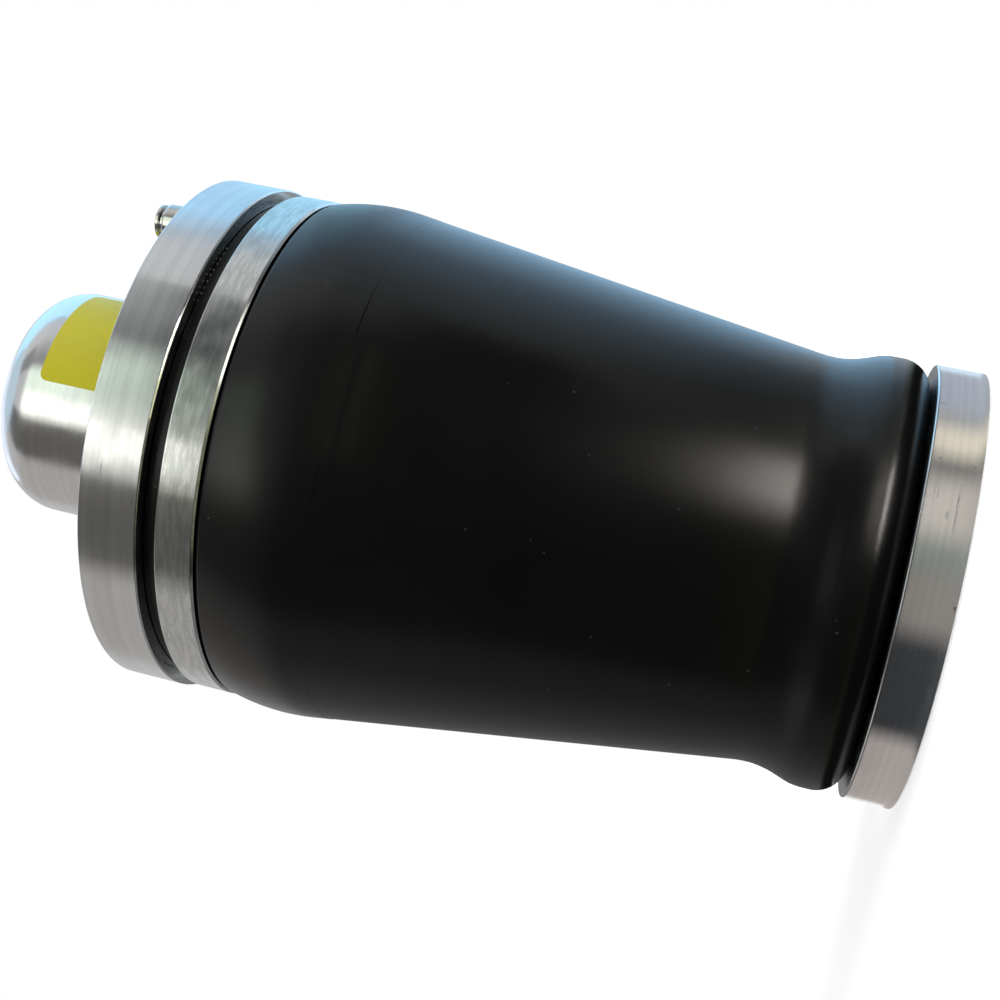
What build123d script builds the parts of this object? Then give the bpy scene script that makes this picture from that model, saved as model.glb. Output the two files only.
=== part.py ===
from build123d import *
from math import cos, radians, sin, tan
import os

# Air suspension spring, standing on its base plate, at its shortest height.
# Sizes are in millimetres. Z runs up the spring's axis, and Z = 0 is the underside of the base plate.

# Clearances
slip = 0.1  # radial gap between rigid pieces that locate one another
running = 0.06  # radial gap of the release collar in the fitting
soft_gap = 0.3  # gap between a rubber piece and what moves past it or is clamped on it
seal_gap = 0.05  # gap all round a seal in its groove
edge_break = 0.7  # chamfer on the turned rims
thread_spare = 2.0  # depth left below a screw's end
countersink = 40  # half angle of a countersunk head, in degrees

# Base plate
base_r = 65.0
base_t = 14.5
spigot_h = 6.0  # register that centres the piston
mount_thread_r = 5.1  # core of the central M12 thread
locator_r = 4.0
locator_depth = 8.0
locator_at_r = 46.0

# Piston
piston_r = 47.0
piston_wall = 4.5
piston_h = 127.5
deck_t = 6.0
lip_t = 5.0
lip_reach = 2.4  # how far the lip stands out over the neck
neck_step = 3.2  # how far the neck lies inside the skirt
neck_ramp = 6.0  # height of the slope from skirt to neck
neck_h = 15.5
groove_depth = 0.8
groove_w = 1.6
neck_grooves = 3
boss_r = 8.0
boss_h = 22.0
boss_inset = 11.0  # from the skirt's outside in to a boss's centre
boss_count = 4

# Screws from the base plate into the piston
screw_r = 4.0
screw_head_r = 7.6
screw_head_h = 4.4
screw_length = 34.0
screw_key_r = 2.6
screw_key_depth = 3.0

# Strike plate on the piston, with its screw
strike_r = 24.0
strike_t = 4.0
strike_screw_r = 3.0
strike_screw_length = 15.0
strike_head_r = 5.6
strike_head_h = 2.8
strike_boss_r = 8.0
strike_boss_h = 8.0

# Rubber sleeve: its wall, the seats at its two ends and its outline
sleeve_wall = 3.0
sleeve_h = 185.5  # from the base plate up to the crimp ring
exit_fillet = 3.0
shoulder_reach = 7.0  # how far the shoulder's corner stands out from the sleeve's seat
shoulder_drop = 13.0  # below the crimp ring
shoulder_round = 0.94  # share of the run above the shoulder that its arc takes
lobe_reach = 18.0  # how far the lobe stands out from the piston
waist_depth = 3.8  # how far the waist's corner lies inside the lobe
waist_rise = 28.5  # above the base plate
waist_round = 0.33
flare_rise = 16.5  # above the base plate
flare_round = 0.42
tuck_fillet = 4.6

# Crimp rings
ring_t = 3.5
ring_h = 11.5
ring_edge = 0.5
low_ring_t = 3.0
low_ring_h = 10.0
end_gap = 5.0  # rubber left showing between the crimp ring and the top plate

# Top plate
plate_r = 80.0
plate_t = 17.5
plate_overhang = 7.7  # how far the plate stands out over its neck
neck_wall = 12.3
neck_drop = 19.0  # how far the neck reaches below the plate
barb_count = 4
barb_depth = 0.7
stud_thread_r = 3.4  # core of the M8 threads
stud_depth = 12.0
stud_inset = 20.0  # from the plate's rim in to a thread's centre
stud_count = 4

# Top cap, with its seal and retaining ring
cap_r = 36.0
cap_land = 0.4  # how far the cap's ground land stands out in the plate's bore
cap_wall = 3.5
cap_rise = 56.5  # above the top plate
cap_corner = 14.0
cap_flange_r = 40.0
cap_flange_t = 4.0
cap_shoulder_t = 8.0  # thickness of the plate over the cap's flange
cap_boss_r = 11.0
cap_boss_h = 8.0
cap_seal_cord_r = 1.2
cap_seal_drop = 4.6
snap_t = 1.6
snap_depth = 1.7
snap_w = 4.0
snap_gap_angle = 40.0
snap_lug_r = 3.2
snap_hole_r = 1.1

# Jounce bumper, its seat and its screw
seat_r = 25.0
seat_t = 2.0
seat_rim_h = 9.0
bumper_head_h = 14.0
bumper_crest_r = 26.0
bumper_valley_r = 20.5
bumper_crest_h = 14.0
bumper_step = 27.0  # from one convolution to the next
bumper_convolutions = 3
bumper_nose_r = 15.0
bumper_bore_r = 8.5
bumper_web = 12.0  # rubber left above the screw's head
bumper_fillet = 3.2
bumper_screw_r = 4.0
bumper_head_r = 6.5
bumper_screw_head_h = 8.0
washer_t = 1.5
bumper_key_r = 3.2
bumper_key_depth = 4.5

# Push-in air fitting
port_inset = 13.0  # from the plate's rim in to the fitting's axis
port_r = 5.0
port_depth = 9.0
port_sink_r = 6.4
port_sink_depth = 1.4
spot_face_r = 8.6
spot_face_depth = 0.5
airway_r = 2.0
tube_r = 3.0  # the air line that pushes in
tube_gap = 0.1
hex_across = 14.0
hex_h = 5.1
fitting_r = 5.6
fitting_h = 12.8  # from the spot face to the mouth
fitting_edge = 0.9
socket_h = 5.0
tube_seal_cord_r = 0.75
grab_t = 0.5
grab_out_r = 4.9
grab_teeth = 8
grab_slot_w = 0.5
collar_r = 4.3
collar_length = 3.6
collar_head_r = 5.1
collar_head_t = 1.2
collar_travel = 0.8
collar_spare = 0.2

# Heights that follow from the sizes above
base_top = base_t
piston_top = base_top + piston_h
strike_top = piston_top + strike_t
ring_bottom = base_top + sleeve_h
ring_top = ring_bottom + ring_h
plate_bottom = ring_top + end_gap
plate_top = plate_bottom + plate_t
cap_top = plate_top + cap_rise
cap_shoulder = plate_top - cap_shoulder_t
cap_flange_bottom = cap_shoulder - cap_flange_t
cap_inner_end = cap_top - cap_wall
cap_boss_face = cap_inner_end - cap_boss_h
seat_face = cap_boss_face - seat_t
bumper_nose = strike_top + soft_gap
lip_bottom = piston_top - lip_t
neck_bottom = lip_bottom - neck_h
skirt_top = neck_bottom - neck_ramp
spot_face = plate_top - spot_face_depth
piston_neck_r = piston_r - neck_step
boss_circle_r = piston_r - boss_inset

# Places on the top plate that follow from its rim
neck_out_r = plate_r - plate_overhang
neck_in_r = neck_out_r - neck_wall
stud_circle_r = plate_r - stud_inset
fitting_at_x = plate_r - port_inset
cap_land_r = cap_r + cap_land

# Radii of the rubber sleeve at its seats and its lobe
inner_wall_r = piston_r + soft_gap
inner_seat_r = piston_neck_r + soft_gap
lobe_out_r = piston_r + lobe_reach
sleeve_seat_r = neck_out_r + slip + sleeve_wall
low_ring_in_r = inner_seat_r + sleeve_wall + soft_gap
ring_in_r = sleeve_seat_r + slip
ring_out_r = ring_in_r + ring_t

# The air fitting's own axis, on its spot face in the plate
port_plane = Plane((fitting_at_x, 0, spot_face))
port_section = Plane((fitting_at_x, 0, spot_face), x_dir=(1, 0, 0), z_dir=(0, -1, 0))
port_axis = Axis((fitting_at_x, 0, spot_face), (0, 0, 1))

os.makedirs("parts", exist_ok=True)


def save(piece, name):
    """Give a finished piece its name and write it as a STEP file."""
    piece.part.label = name
    export_step(piece.part, f"parts/{name}.step")


def revolved_ring(in_r, out_r, low_z, high_z):
    """Draw the half section of a plain ring, to be revolved about the spring's axis."""
    with Locations(((in_r + out_r) / 2, (low_z + high_z) / 2)):
        Rectangle(out_r - in_r, high_z - low_z)


def arc_radius(before, corner, after, share):
    """Radius of a corner's arc that takes the given share of the shorter run beside it."""
    run_in = Vector(*corner) - Vector(*before)
    run_out = Vector(*after) - Vector(*corner)
    half_turn = radians(run_in.get_angle(run_out)) / 2
    return share * min(run_in.length, run_out.length) / tan(half_turn)


# Base plate: a turned disc with a register for the piston and countersunk holes from below.
with BuildPart() as base_plate:
    with BuildSketch(Plane.XY):
        Circle(base_r)
    extrude(amount=base_t)
    chamfer(base_plate.edges(), edge_break)
    with BuildSketch(Plane.XY.offset(base_top)):
        Circle(piston_r - piston_wall - slip)
    extrude(amount=spigot_h)
    chamfer(base_plate.faces().sort_by(Axis.Z)[-1].edges(), edge_break)
    with BuildSketch(Plane.XY):
        Circle(mount_thread_r)
    extrude(amount=base_t + spigot_h, mode=Mode.SUBTRACT)
    with BuildSketch(Plane.XY):
        with Locations((-locator_at_r, 0)):
            Circle(locator_r)
    extrude(amount=locator_depth, mode=Mode.SUBTRACT)
    with BuildSketch(Plane.XY):
        with PolarLocations(boss_circle_r, boss_count, start_angle=180 / boss_count):
            Circle(screw_head_r + slip)
    extrude(amount=screw_head_h + slip, taper=countersink, mode=Mode.SUBTRACT)
    with BuildSketch(Plane.XY):
        with PolarLocations(boss_circle_r, boss_count, start_angle=180 / boss_count):
            Circle(screw_r + slip)
    extrude(amount=base_t + spigot_h, mode=Mode.SUBTRACT)
save(base_plate, "base_plate")

# Piston: a hollow skirt that the sleeve rolls on, a grooved neck and a closed deck.
with BuildPart() as piston:
    with BuildSketch(Plane.XZ):
        with BuildLine():
            Polyline(
                (piston_r, base_top),
                (piston_r, skirt_top),
                (piston_neck_r, neck_bottom),
                (piston_neck_r, lip_bottom),
                (piston_neck_r + lip_reach, lip_bottom),
                (piston_neck_r + lip_reach, piston_top),
                (0, piston_top),
                (0, piston_top - deck_t),
                (piston_neck_r - piston_wall, piston_top - deck_t),
                (piston_neck_r - piston_wall, neck_bottom),
                (piston_r - piston_wall, skirt_top),
                (piston_r - piston_wall, base_top),
                close=True,
            )
        make_face()
        for row in range(neck_grooves):
            groove_z = neck_bottom + neck_h * (row + 1) / (neck_grooves + 1)
            with Locations((piston_neck_r, groove_z)):
                Rectangle(2 * groove_depth, groove_w, mode=Mode.SUBTRACT)
    revolve(axis=Axis.Z)
    chamfer(piston.edges().filter_by(GeomType.CIRCLE).sort_by(Axis.Z)[-1], edge_break)
    with BuildSketch(Plane.XY.offset(base_top + spigot_h)):
        with PolarLocations(boss_circle_r, boss_count, start_angle=180 / boss_count):
            Circle(boss_r)
    extrude(amount=boss_h)
    with BuildSketch(Plane.XY.offset(piston_top - deck_t - strike_boss_h)):
        Circle(strike_boss_r)
    extrude(amount=strike_boss_h)
    with BuildSketch(Plane.XY.offset(base_top + spigot_h)):
        with PolarLocations(boss_circle_r, boss_count, start_angle=180 / boss_count):
            Circle(screw_r + slip)
    extrude(amount=screw_length + thread_spare - base_top - spigot_h, mode=Mode.SUBTRACT)
    with BuildSketch(Plane.XY.offset(piston_top)):
        Circle(strike_screw_r + slip)
    extrude(amount=-(strike_screw_length + thread_spare - strike_t), mode=Mode.SUBTRACT)
save(piston, "piston")

# Countersunk screws that hold the piston down on the base plate.
with BuildPart() as piston_screws:
    with BuildSketch(Plane.XY):
        with PolarLocations(boss_circle_r, boss_count, start_angle=180 / boss_count):
            Circle(screw_head_r)
    extrude(amount=screw_head_h, taper=countersink)
    with BuildSketch(Plane.XY):
        with PolarLocations(boss_circle_r, boss_count, start_angle=180 / boss_count):
            Circle(screw_r)
    extrude(amount=screw_length)
    with BuildSketch(Plane.XY):
        with PolarLocations(boss_circle_r, boss_count, start_angle=180 / boss_count):
            RegularPolygon(screw_key_r, 6, major_radius=False)
    extrude(amount=screw_key_depth, mode=Mode.SUBTRACT)
save(piston_screws, "piston_screws")

# Strike plate: the hard disc on the piston that the bumper lands on.
with BuildPart() as strike_plate:
    with BuildSketch(Plane.XY.offset(piston_top)):
        Circle(strike_r)
        Circle(strike_screw_r + slip, mode=Mode.SUBTRACT)
    extrude(amount=strike_t)
    chamfer(strike_plate.edges().group_by(Axis.Z)[-1].sort_by(SortBy.RADIUS)[-1], edge_break)
    with BuildSketch(Plane.XY.offset(strike_top)):
        Circle(strike_head_r + slip)
    extrude(amount=-(strike_head_h + slip), taper=countersink, mode=Mode.SUBTRACT)
save(strike_plate, "strike_plate")

with BuildPart() as strike_screw:
    with BuildSketch(Plane.XY.offset(strike_top)):
        Circle(strike_head_r)
    extrude(amount=-strike_head_h, taper=countersink)
    with BuildSketch(Plane.XY.offset(strike_top)):
        Circle(strike_screw_r)
    extrude(amount=-strike_screw_length)
    with BuildSketch(Plane.XY.offset(strike_top)):
        RegularPolygon(strike_screw_r / 2, 6, major_radius=False)
    extrude(amount=-strike_head_h / 2, mode=Mode.SUBTRACT)
save(strike_screw, "strike_screw")

# Rubber sleeve: one wall, from the top seat down over the shoulder and the taper,
# round the rolling lobe and back up the piston to the lower seat.
lobe_r = (lobe_out_r - inner_wall_r) / 2
lobe_centre_r = (lobe_out_r + inner_wall_r) / 2
lobe_z = base_top + soft_gap + lobe_r
sleeve_top = plate_bottom - soft_gap
sleeve_inner_end = lip_bottom - soft_gap
sleeve_exit = (sleeve_seat_r, ring_bottom)
shoulder = (sleeve_seat_r + shoulder_reach, ring_bottom - shoulder_drop)
waist = (lobe_out_r - waist_depth, base_top + waist_rise)
flare = (lobe_out_r, base_top + flare_rise)
shoulder_r = arc_radius(sleeve_exit, shoulder, waist, shoulder_round)
waist_r = arc_radius(shoulder, waist, flare, waist_round)
flare_r = arc_radius(waist, flare, (lobe_out_r, lobe_z), flare_round)

with BuildPart() as sleeve:
    with BuildSketch(Plane.XZ):
        with BuildLine() as sleeve_line:
            FilletPolyline(
                (sleeve_seat_r, sleeve_top),
                sleeve_exit,
                shoulder,
                waist,
                flare,
                (lobe_out_r, lobe_z),
                radius=[exit_fillet, shoulder_r, waist_r, flare_r],
            )
            ThreePointArc(
                (lobe_out_r, lobe_z),
                (lobe_centre_r, lobe_z - lobe_r),
                (inner_wall_r, lobe_z),
            )
            FilletPolyline(
                (inner_wall_r, lobe_z),
                (inner_wall_r, skirt_top),
                (inner_seat_r, neck_bottom),
                (inner_seat_r, sleeve_inner_end),
                radius=tuck_fillet,
            )
            offset(amount=sleeve_wall, side=Side.RIGHT)
        make_face()
    revolve(axis=Axis.Z)
save(sleeve, "sleeve")

# Crimp rings: the wide one that shows under the top plate, and the one inside on the piston's neck.
with BuildPart() as upper_crimp_ring:
    with BuildSketch(Plane.XZ):
        revolved_ring(ring_in_r, ring_out_r, ring_bottom, ring_top)
    revolve(axis=Axis.Z)
    chamfer(upper_crimp_ring.edges().filter_by(GeomType.CIRCLE), ring_edge)
save(upper_crimp_ring, "upper_crimp_ring")

with BuildPart() as lower_crimp_ring:
    with BuildSketch(Plane.XZ):
        ring_low = neck_bottom + (neck_h - low_ring_h) / 2
        revolved_ring(low_ring_in_r, low_ring_in_r + low_ring_t, ring_low, ring_low + low_ring_h)
    revolve(axis=Axis.Z)
    chamfer(lower_crimp_ring.edges().filter_by(GeomType.CIRCLE), ring_edge)
save(lower_crimp_ring, "lower_crimp_ring")

# Top plate: a turned flange with a barbed neck, a stepped bore for the cap and an air port.
neck_end = plate_bottom - neck_drop
cap_seal_z = plate_top - cap_seal_drop
cap_seal_groove_r = cap_land_r + 2 * cap_seal_cord_r + seal_gap
snap_z = cap_flange_bottom - snap_t - slip

with BuildPart() as top_plate:
    with BuildSketch(Plane.XZ):
        revolved_ring(cap_land_r + slip, plate_r, plate_bottom, plate_top)
        revolved_ring(neck_in_r, neck_out_r, neck_end, plate_bottom)
        for row in range(barb_count):
            barb_z = ring_bottom + ring_h * (row + 0.5) / barb_count
            with Locations((neck_out_r, barb_z)):
                Rectangle(2 * barb_depth, ring_h / barb_count / 2, mode=Mode.SUBTRACT)
    revolve(axis=Axis.Z)
    rims = top_plate.edges().filter_by(GeomType.CIRCLE).sort_by(SortBy.RADIUS)[-2:]
    chamfer(rims, edge_break)
    with BuildSketch(Plane.XZ):
        revolved_ring(0, cap_flange_r + slip, plate_bottom, cap_shoulder)
        groove_half = cap_seal_cord_r + seal_gap
        revolved_ring(0, cap_seal_groove_r, cap_seal_z - groove_half, cap_seal_z + groove_half)
        revolved_ring(0, cap_flange_r + snap_depth, snap_z - slip, snap_z + snap_t + slip)
    revolve(axis=Axis.Z, mode=Mode.SUBTRACT)
    with BuildSketch(Plane.XY.offset(plate_top)):
        with PolarLocations(stud_circle_r, stud_count, start_angle=180 / stud_count):
            Circle(stud_thread_r)
    extrude(amount=-stud_depth, mode=Mode.SUBTRACT)
    with BuildSketch(port_plane):
        Circle(spot_face_r)
    extrude(amount=spot_face_depth, mode=Mode.SUBTRACT)
    with BuildSketch(port_plane):
        Circle(port_sink_r)
    extrude(amount=-port_sink_depth, mode=Mode.SUBTRACT)
    with BuildSketch(port_plane):
        Circle(port_r)
    extrude(amount=-port_depth, mode=Mode.SUBTRACT)
    with BuildSketch(port_plane):
        Circle(airway_r)
    extrude(amount=-(plate_t + neck_drop), mode=Mode.SUBTRACT)
save(top_plate, "top_plate")

# Top cap: a deep turned cup, let into the plate from below, with a boss for the bumper's screw.
with BuildPart() as top_cap:
    with BuildSketch(Plane.XZ):
        with BuildLine():
            Polyline(
                (0, cap_top),
                (cap_r - cap_corner, cap_top),
            )
            RadiusArc((cap_r - cap_corner, cap_top), (cap_r, cap_top - cap_corner), cap_corner)
            Polyline(
                (cap_r, cap_top - cap_corner),
                (cap_r, plate_top),
                (cap_land_r, plate_top),
                (cap_land_r, cap_shoulder),
                (cap_flange_r, cap_shoulder),
                (cap_flange_r, cap_flange_bottom),
                (cap_r - cap_wall, cap_flange_bottom),
                (cap_r - cap_wall, cap_top - cap_corner),
            )
            RadiusArc(
                (cap_r - cap_wall, cap_top - cap_corner),
                (cap_r - cap_corner, cap_inner_end),
                -(cap_corner - cap_wall),
            )
            Polyline(
                (cap_r - cap_corner, cap_inner_end),
                (cap_boss_r, cap_inner_end),
                (cap_boss_r, cap_boss_face),
                (0, cap_boss_face),
                (0, cap_top),
            )
        make_face()
    revolve(axis=Axis.Z)
    with BuildSketch(Plane.XY.offset(cap_boss_face)):
        Circle(bumper_screw_r + slip)
    extrude(amount=cap_boss_h + cap_wall / 3, mode=Mode.SUBTRACT)
save(top_cap, "top_cap")

with BuildPart() as cap_seal:
    with BuildSketch(Plane.XZ):
        with Locations((cap_land_r + cap_seal_cord_r + slip / 2, cap_seal_z)):
            Circle(cap_seal_cord_r - seal_gap)
    revolve(axis=Axis.Z)
save(cap_seal, "cap_seal")

# Internal retaining ring under the cap's flange: an open ring with two pierced lugs.
snap_out_r = cap_flange_r + snap_depth - slip
with BuildPart() as cap_retaining_ring:
    with BuildSketch(Plane.XY.offset(snap_z)):
        Circle(snap_out_r)
        Circle(snap_out_r - snap_w, mode=Mode.SUBTRACT)
        with BuildLine(mode=Mode.PRIVATE) as snap_opening:
            reach = 2 * snap_out_r
            half_gap = radians(snap_gap_angle / 2)
            Polyline(
                (0, 0),
                (reach * cos(half_gap), reach * sin(half_gap)),
                (reach * cos(half_gap), -reach * sin(half_gap)),
                close=True,
            )
        make_face(snap_opening.edges(), mode=Mode.SUBTRACT)
        lug_centre_r = snap_out_r - snap_lug_r - snap_w / 4
        for turn in (-1, 1):
            with PolarLocations(lug_centre_r, 1, start_angle=turn * snap_gap_angle / 2):
                Circle(snap_lug_r)
                Circle(snap_hole_r, mode=Mode.SUBTRACT)
    extrude(amount=snap_t)
save(cap_retaining_ring, "cap_retaining_ring")

# Bumper seat: a pressed steel cup that holds the bumper's head.
with BuildPart() as bumper_seat:
    with BuildSketch(Plane.XY.offset(cap_boss_face)):
        Circle(seat_r)
    extrude(amount=-(seat_t + seat_rim_h))
    fillet(bumper_seat.edges().group_by(Axis.Z)[-1], seat_t)
    with BuildSketch(Plane.XY.offset(seat_face)):
        Circle(seat_r - seat_t)
    extrude(amount=-seat_rim_h, mode=Mode.SUBTRACT)
    with BuildSketch(Plane.XY.offset(cap_boss_face)):
        Circle(bumper_screw_r + slip)
    extrude(amount=-seat_t, mode=Mode.SUBTRACT)
save(bumper_seat, "bumper_seat")

# Jounce bumper: a bored foam-rubber spring with rounded convolutions and a narrow nose.
bumper_outline = [
    (seat_r - seat_t - soft_gap, seat_face),
    (seat_r - seat_t - soft_gap, seat_face - bumper_head_h),
]
crest_top = seat_face - bumper_head_h - (bumper_step - bumper_crest_h) / 2
for row in range(bumper_convolutions):
    row_z = crest_top - row * bumper_step
    bumper_outline.append((bumper_crest_r, row_z))
    bumper_outline.append((bumper_crest_r, row_z - bumper_crest_h))
    bumper_outline.append((bumper_valley_r, row_z - (bumper_step + bumper_crest_h) / 2))
bumper_outline.append((bumper_nose_r, bumper_nose))
bumper_outline.append((bumper_bore_r, bumper_nose))

with BuildPart() as jounce_bumper:
    with BuildSketch(Plane.XZ):
        with BuildLine():
            FilletPolyline(*bumper_outline, radius=bumper_fillet)
            Polyline(
                bumper_outline[-1],
                (bumper_bore_r, seat_face - bumper_web),
                (bumper_screw_r + soft_gap, seat_face - bumper_web),
                (bumper_screw_r + soft_gap, seat_face),
                bumper_outline[0],
            )
        make_face()
    revolve(axis=Axis.Z)
save(jounce_bumper, "jounce_bumper")

# Washer in the bumper's bore, and the cap screw that passes it into the boss of the top cap.
washer_top = seat_face - bumper_web
screw_head_top = washer_top - washer_t
with BuildPart() as bumper_washer:
    with BuildSketch(Plane.XY.offset(washer_top)):
        Circle(bumper_bore_r - soft_gap)
        Circle(bumper_screw_r + slip, mode=Mode.SUBTRACT)
    extrude(amount=-washer_t)
save(bumper_washer, "bumper_washer")

with BuildPart() as bumper_screw:
    with BuildSketch(Plane.XY.offset(screw_head_top)):
        Circle(bumper_head_r)
    extrude(amount=-bumper_screw_head_h)
    with BuildSketch(Plane.XY.offset(screw_head_top)):
        Circle(bumper_screw_r)
    extrude(amount=cap_inner_end - screw_head_top)
    with BuildSketch(Plane.XY.offset(screw_head_top - bumper_screw_head_h)):
        RegularPolygon(bumper_key_r, 6, major_radius=False)
    extrude(amount=bumper_key_depth, mode=Mode.SUBTRACT)
save(bumper_screw, "bumper_screw")

# Air fitting body: a threaded stem, a hexagon and a round socket for the air line.
tube_bore_r = tube_r + tube_gap
mouth_r = collar_r + running
collar_room = collar_length + collar_travel + collar_spare
grab_z = fitting_h - collar_room - grab_t
seal_bore_r = tube_bore_r + 2 * tube_seal_cord_r + seal_gap
seal_floor = grab_z - 2 * tube_seal_cord_r - 2 * seal_gap
socket_floor = seal_floor - socket_h

with BuildPart() as fitting_body:
    with BuildSketch(port_plane):
        RegularPolygon(hex_across / 2, 6, major_radius=False)
    extrude(amount=hex_h)
    with BuildSketch(port_plane.offset(hex_h)):
        Circle(fitting_r)
    extrude(amount=fitting_h - hex_h)
    fillet(fitting_body.faces().sort_by(Axis.Z)[-1].edges(), fitting_edge)
    with BuildSketch(port_plane):
        Circle(port_r - slip)
    extrude(amount=-(port_depth - slip))
    with BuildSketch(port_section):
        revolved_ring(0, mouth_r, grab_z + grab_t, fitting_h)
        revolved_ring(0, grab_out_r + slip, grab_z, grab_z + grab_t)
        revolved_ring(0, seal_bore_r, seal_floor, grab_z)
        revolved_ring(0, tube_bore_r, socket_floor, seal_floor)
        revolved_ring(0, airway_r, -port_depth, socket_floor)
    revolve(axis=port_axis, mode=Mode.SUBTRACT)
save(fitting_body, "fitting_body")

with BuildPart() as fitting_seal:
    with BuildSketch(port_section):
        with Locations(((port_r - slip + port_sink_r) / 2, -port_sink_depth / 2)):
            Circle((port_sink_r - port_r) / 2 - seal_gap)
    revolve(axis=port_axis)
save(fitting_seal, "fitting_seal")

with BuildPart() as tube_seal:
    with BuildSketch(port_section):
        with Locations((tube_bore_r + tube_seal_cord_r + seal_gap, seal_floor + seal_gap + tube_seal_cord_r)):
            Circle(tube_seal_cord_r - seal_gap)
    revolve(axis=port_axis)
save(tube_seal, "tube_seal")

# Grab ring: a thin slotted washer whose teeth hold the air line.
with BuildPart() as grab_ring:
    with BuildSketch(port_plane.offset(grab_z)):
        Circle(grab_out_r)
        Circle(tube_bore_r, mode=Mode.SUBTRACT)
        with PolarLocations(tube_bore_r, grab_teeth):
            Rectangle((grab_out_r - tube_bore_r), grab_slot_w, mode=Mode.SUBTRACT)
    extrude(amount=grab_t)
save(grab_ring, "grab_ring")

# Release collar: the flanged sleeve that is pressed in to free the air line.
with BuildPart() as release_collar:
    with BuildSketch(port_section):
        collar_bottom = fitting_h - collar_length
        head_bottom = fitting_h + collar_travel + collar_spare
        revolved_ring(tube_bore_r, collar_r, collar_bottom, head_bottom)
        revolved_ring(tube_bore_r, collar_head_r, head_bottom, head_bottom + collar_head_t)
    revolve(axis=port_axis)
    collar_rim = release_collar.edges().filter_by(GeomType.CIRCLE).sort_by(SortBy.RADIUS)[-2:]
    chamfer(collar_rim, collar_head_t / 4)
save(release_collar, "release_collar")
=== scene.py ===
"""Looks of an air suspension spring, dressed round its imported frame.

Sizes in the sub-assemblies are millimetres, as in the part's own source, and meshes are metres.
Heights run up the spring's axis from the underside of the foot disc. Turns are degrees round
that axis, and a facing is a turn counted from the side that the camera looks at.
"""

import logging
import math
import random
from collections.abc import Iterable, Sequence
from dataclasses import dataclass, field
from enum import Enum
from itertools import pairwise
from typing import ClassVar

import bmesh
import bpy
from bmesh.types import BMesh, BMVert
from mathutils import Matrix, Vector


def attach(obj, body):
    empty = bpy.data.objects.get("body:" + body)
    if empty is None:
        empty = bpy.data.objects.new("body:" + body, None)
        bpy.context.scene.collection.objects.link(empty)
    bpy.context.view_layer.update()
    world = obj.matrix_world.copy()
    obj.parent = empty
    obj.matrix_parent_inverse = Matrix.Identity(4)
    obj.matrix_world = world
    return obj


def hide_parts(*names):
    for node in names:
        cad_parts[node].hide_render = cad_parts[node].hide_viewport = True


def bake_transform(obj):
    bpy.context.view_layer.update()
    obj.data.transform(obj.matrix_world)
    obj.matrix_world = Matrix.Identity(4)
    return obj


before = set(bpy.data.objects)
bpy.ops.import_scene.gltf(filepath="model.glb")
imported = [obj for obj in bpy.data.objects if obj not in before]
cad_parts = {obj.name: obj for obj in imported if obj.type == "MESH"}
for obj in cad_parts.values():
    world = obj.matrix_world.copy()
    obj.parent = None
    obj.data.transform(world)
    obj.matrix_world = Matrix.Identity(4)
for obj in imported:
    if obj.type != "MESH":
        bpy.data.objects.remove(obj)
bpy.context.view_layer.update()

log = logging.getLogger("air_spring")

MM = 0.001
FULL_TURN = 2 * math.pi
CAMERA_TURN = -62.5
HOLD = 0.12 * MM  # from a rounded corner to the vertex that keeps the flat beside it flat
NEAR = 1e-7  # vertices closer than this are one
CREASE = math.radians(32)
COIL_STEPS = 24
COIL_FOOT = 0.88  # part of the pitch that a thread's ridge stands on
COIL_SINK = 0.05  # how deep the foot of a thread's ridge lies in the hole's wall
CLEAR = 1.0  # how far a cutting tool stands out of the face that it enters
FILM_CUTS = 48
LARGE_ROUND = 240  # steps of the plate, the ring, the sleeve and the foot
SMALL_ROUND = 96  # steps of the air fitting and the floor
ORIGIN = (0.0, 0.0, 0.0)
WHITE = (1.0, 1.0, 1.0)
REST_HEIGHT = "rest_height"

BROAD_LINES = 1 / 6  # broad tool lines to one fine line
SLOW_DRIFT = 0.045  # waves of the drift to one grain
RIM_BREAKS = 420.0  # breaks in a metre of worn rim that carries a painted highlight
SCUFF_RAGGED = 900.0
SCUFF_SWAY = 0.6 * MM
SCUFF_PATCHES = 1600.0
SCUFF_ROUGH = 0.3
SCUFF_DIRT = (0.09, 0.085, 0.08)
# Rim marks: a lighter, smoother band of metal along edges, partly wear and partly a painted highlight.
WEAR_AND_HIGHLIGHT_COVER = 0.7
WEAR_POLISH = 0.08
WEAR_AND_HIGHLIGHT_METAL = (0.86, 0.86, 0.85)
DUST_TONE = (0.10, 0.10, 0.095)

Colour = tuple[float, float, float]
Row = tuple[float, ...]
Bands = tuple[tuple[float, Colour], ...]
Tree = bpy.types.NodeTree
Node = bpy.types.Node
Socket = bpy.types.NodeSocket
Outputs = bpy.types.NodeOutputs
Material = bpy.types.Material
Piece = bpy.types.Object


class Body(Enum):
    """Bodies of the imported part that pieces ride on."""

    BASE = "base"
    TOP = "top"
    COLLAR = "collar"


class Slot(Enum):
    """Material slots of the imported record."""

    TURNED_ALUMINIUM = "turned_aluminium"
    RING_METAL = "ring_metal"
    CAP_ALUMINIUM = "cap_aluminium"
    SLEEVE_RUBBER = "sleeve_rubber"
    NICKEL_BRASS = "nickel_brass"


def facing_turn(facing: float) -> float:
    """Give the turn in radians of a facing in degrees."""
    return math.radians(CAMERA_TURN + facing)


# Shapes


@dataclass(frozen=True)
class Corner:
    """One corner of a half outline: radius, height and rounding in millimetres."""

    radius: float
    height: float
    rounding: float = 0.0
    steps: int = 5

    def point(self) -> Vector:
        """Give the corner's place in the drawing plane, in metres."""
        return Vector((self.radius * MM, 0.0, self.height * MM))


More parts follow.
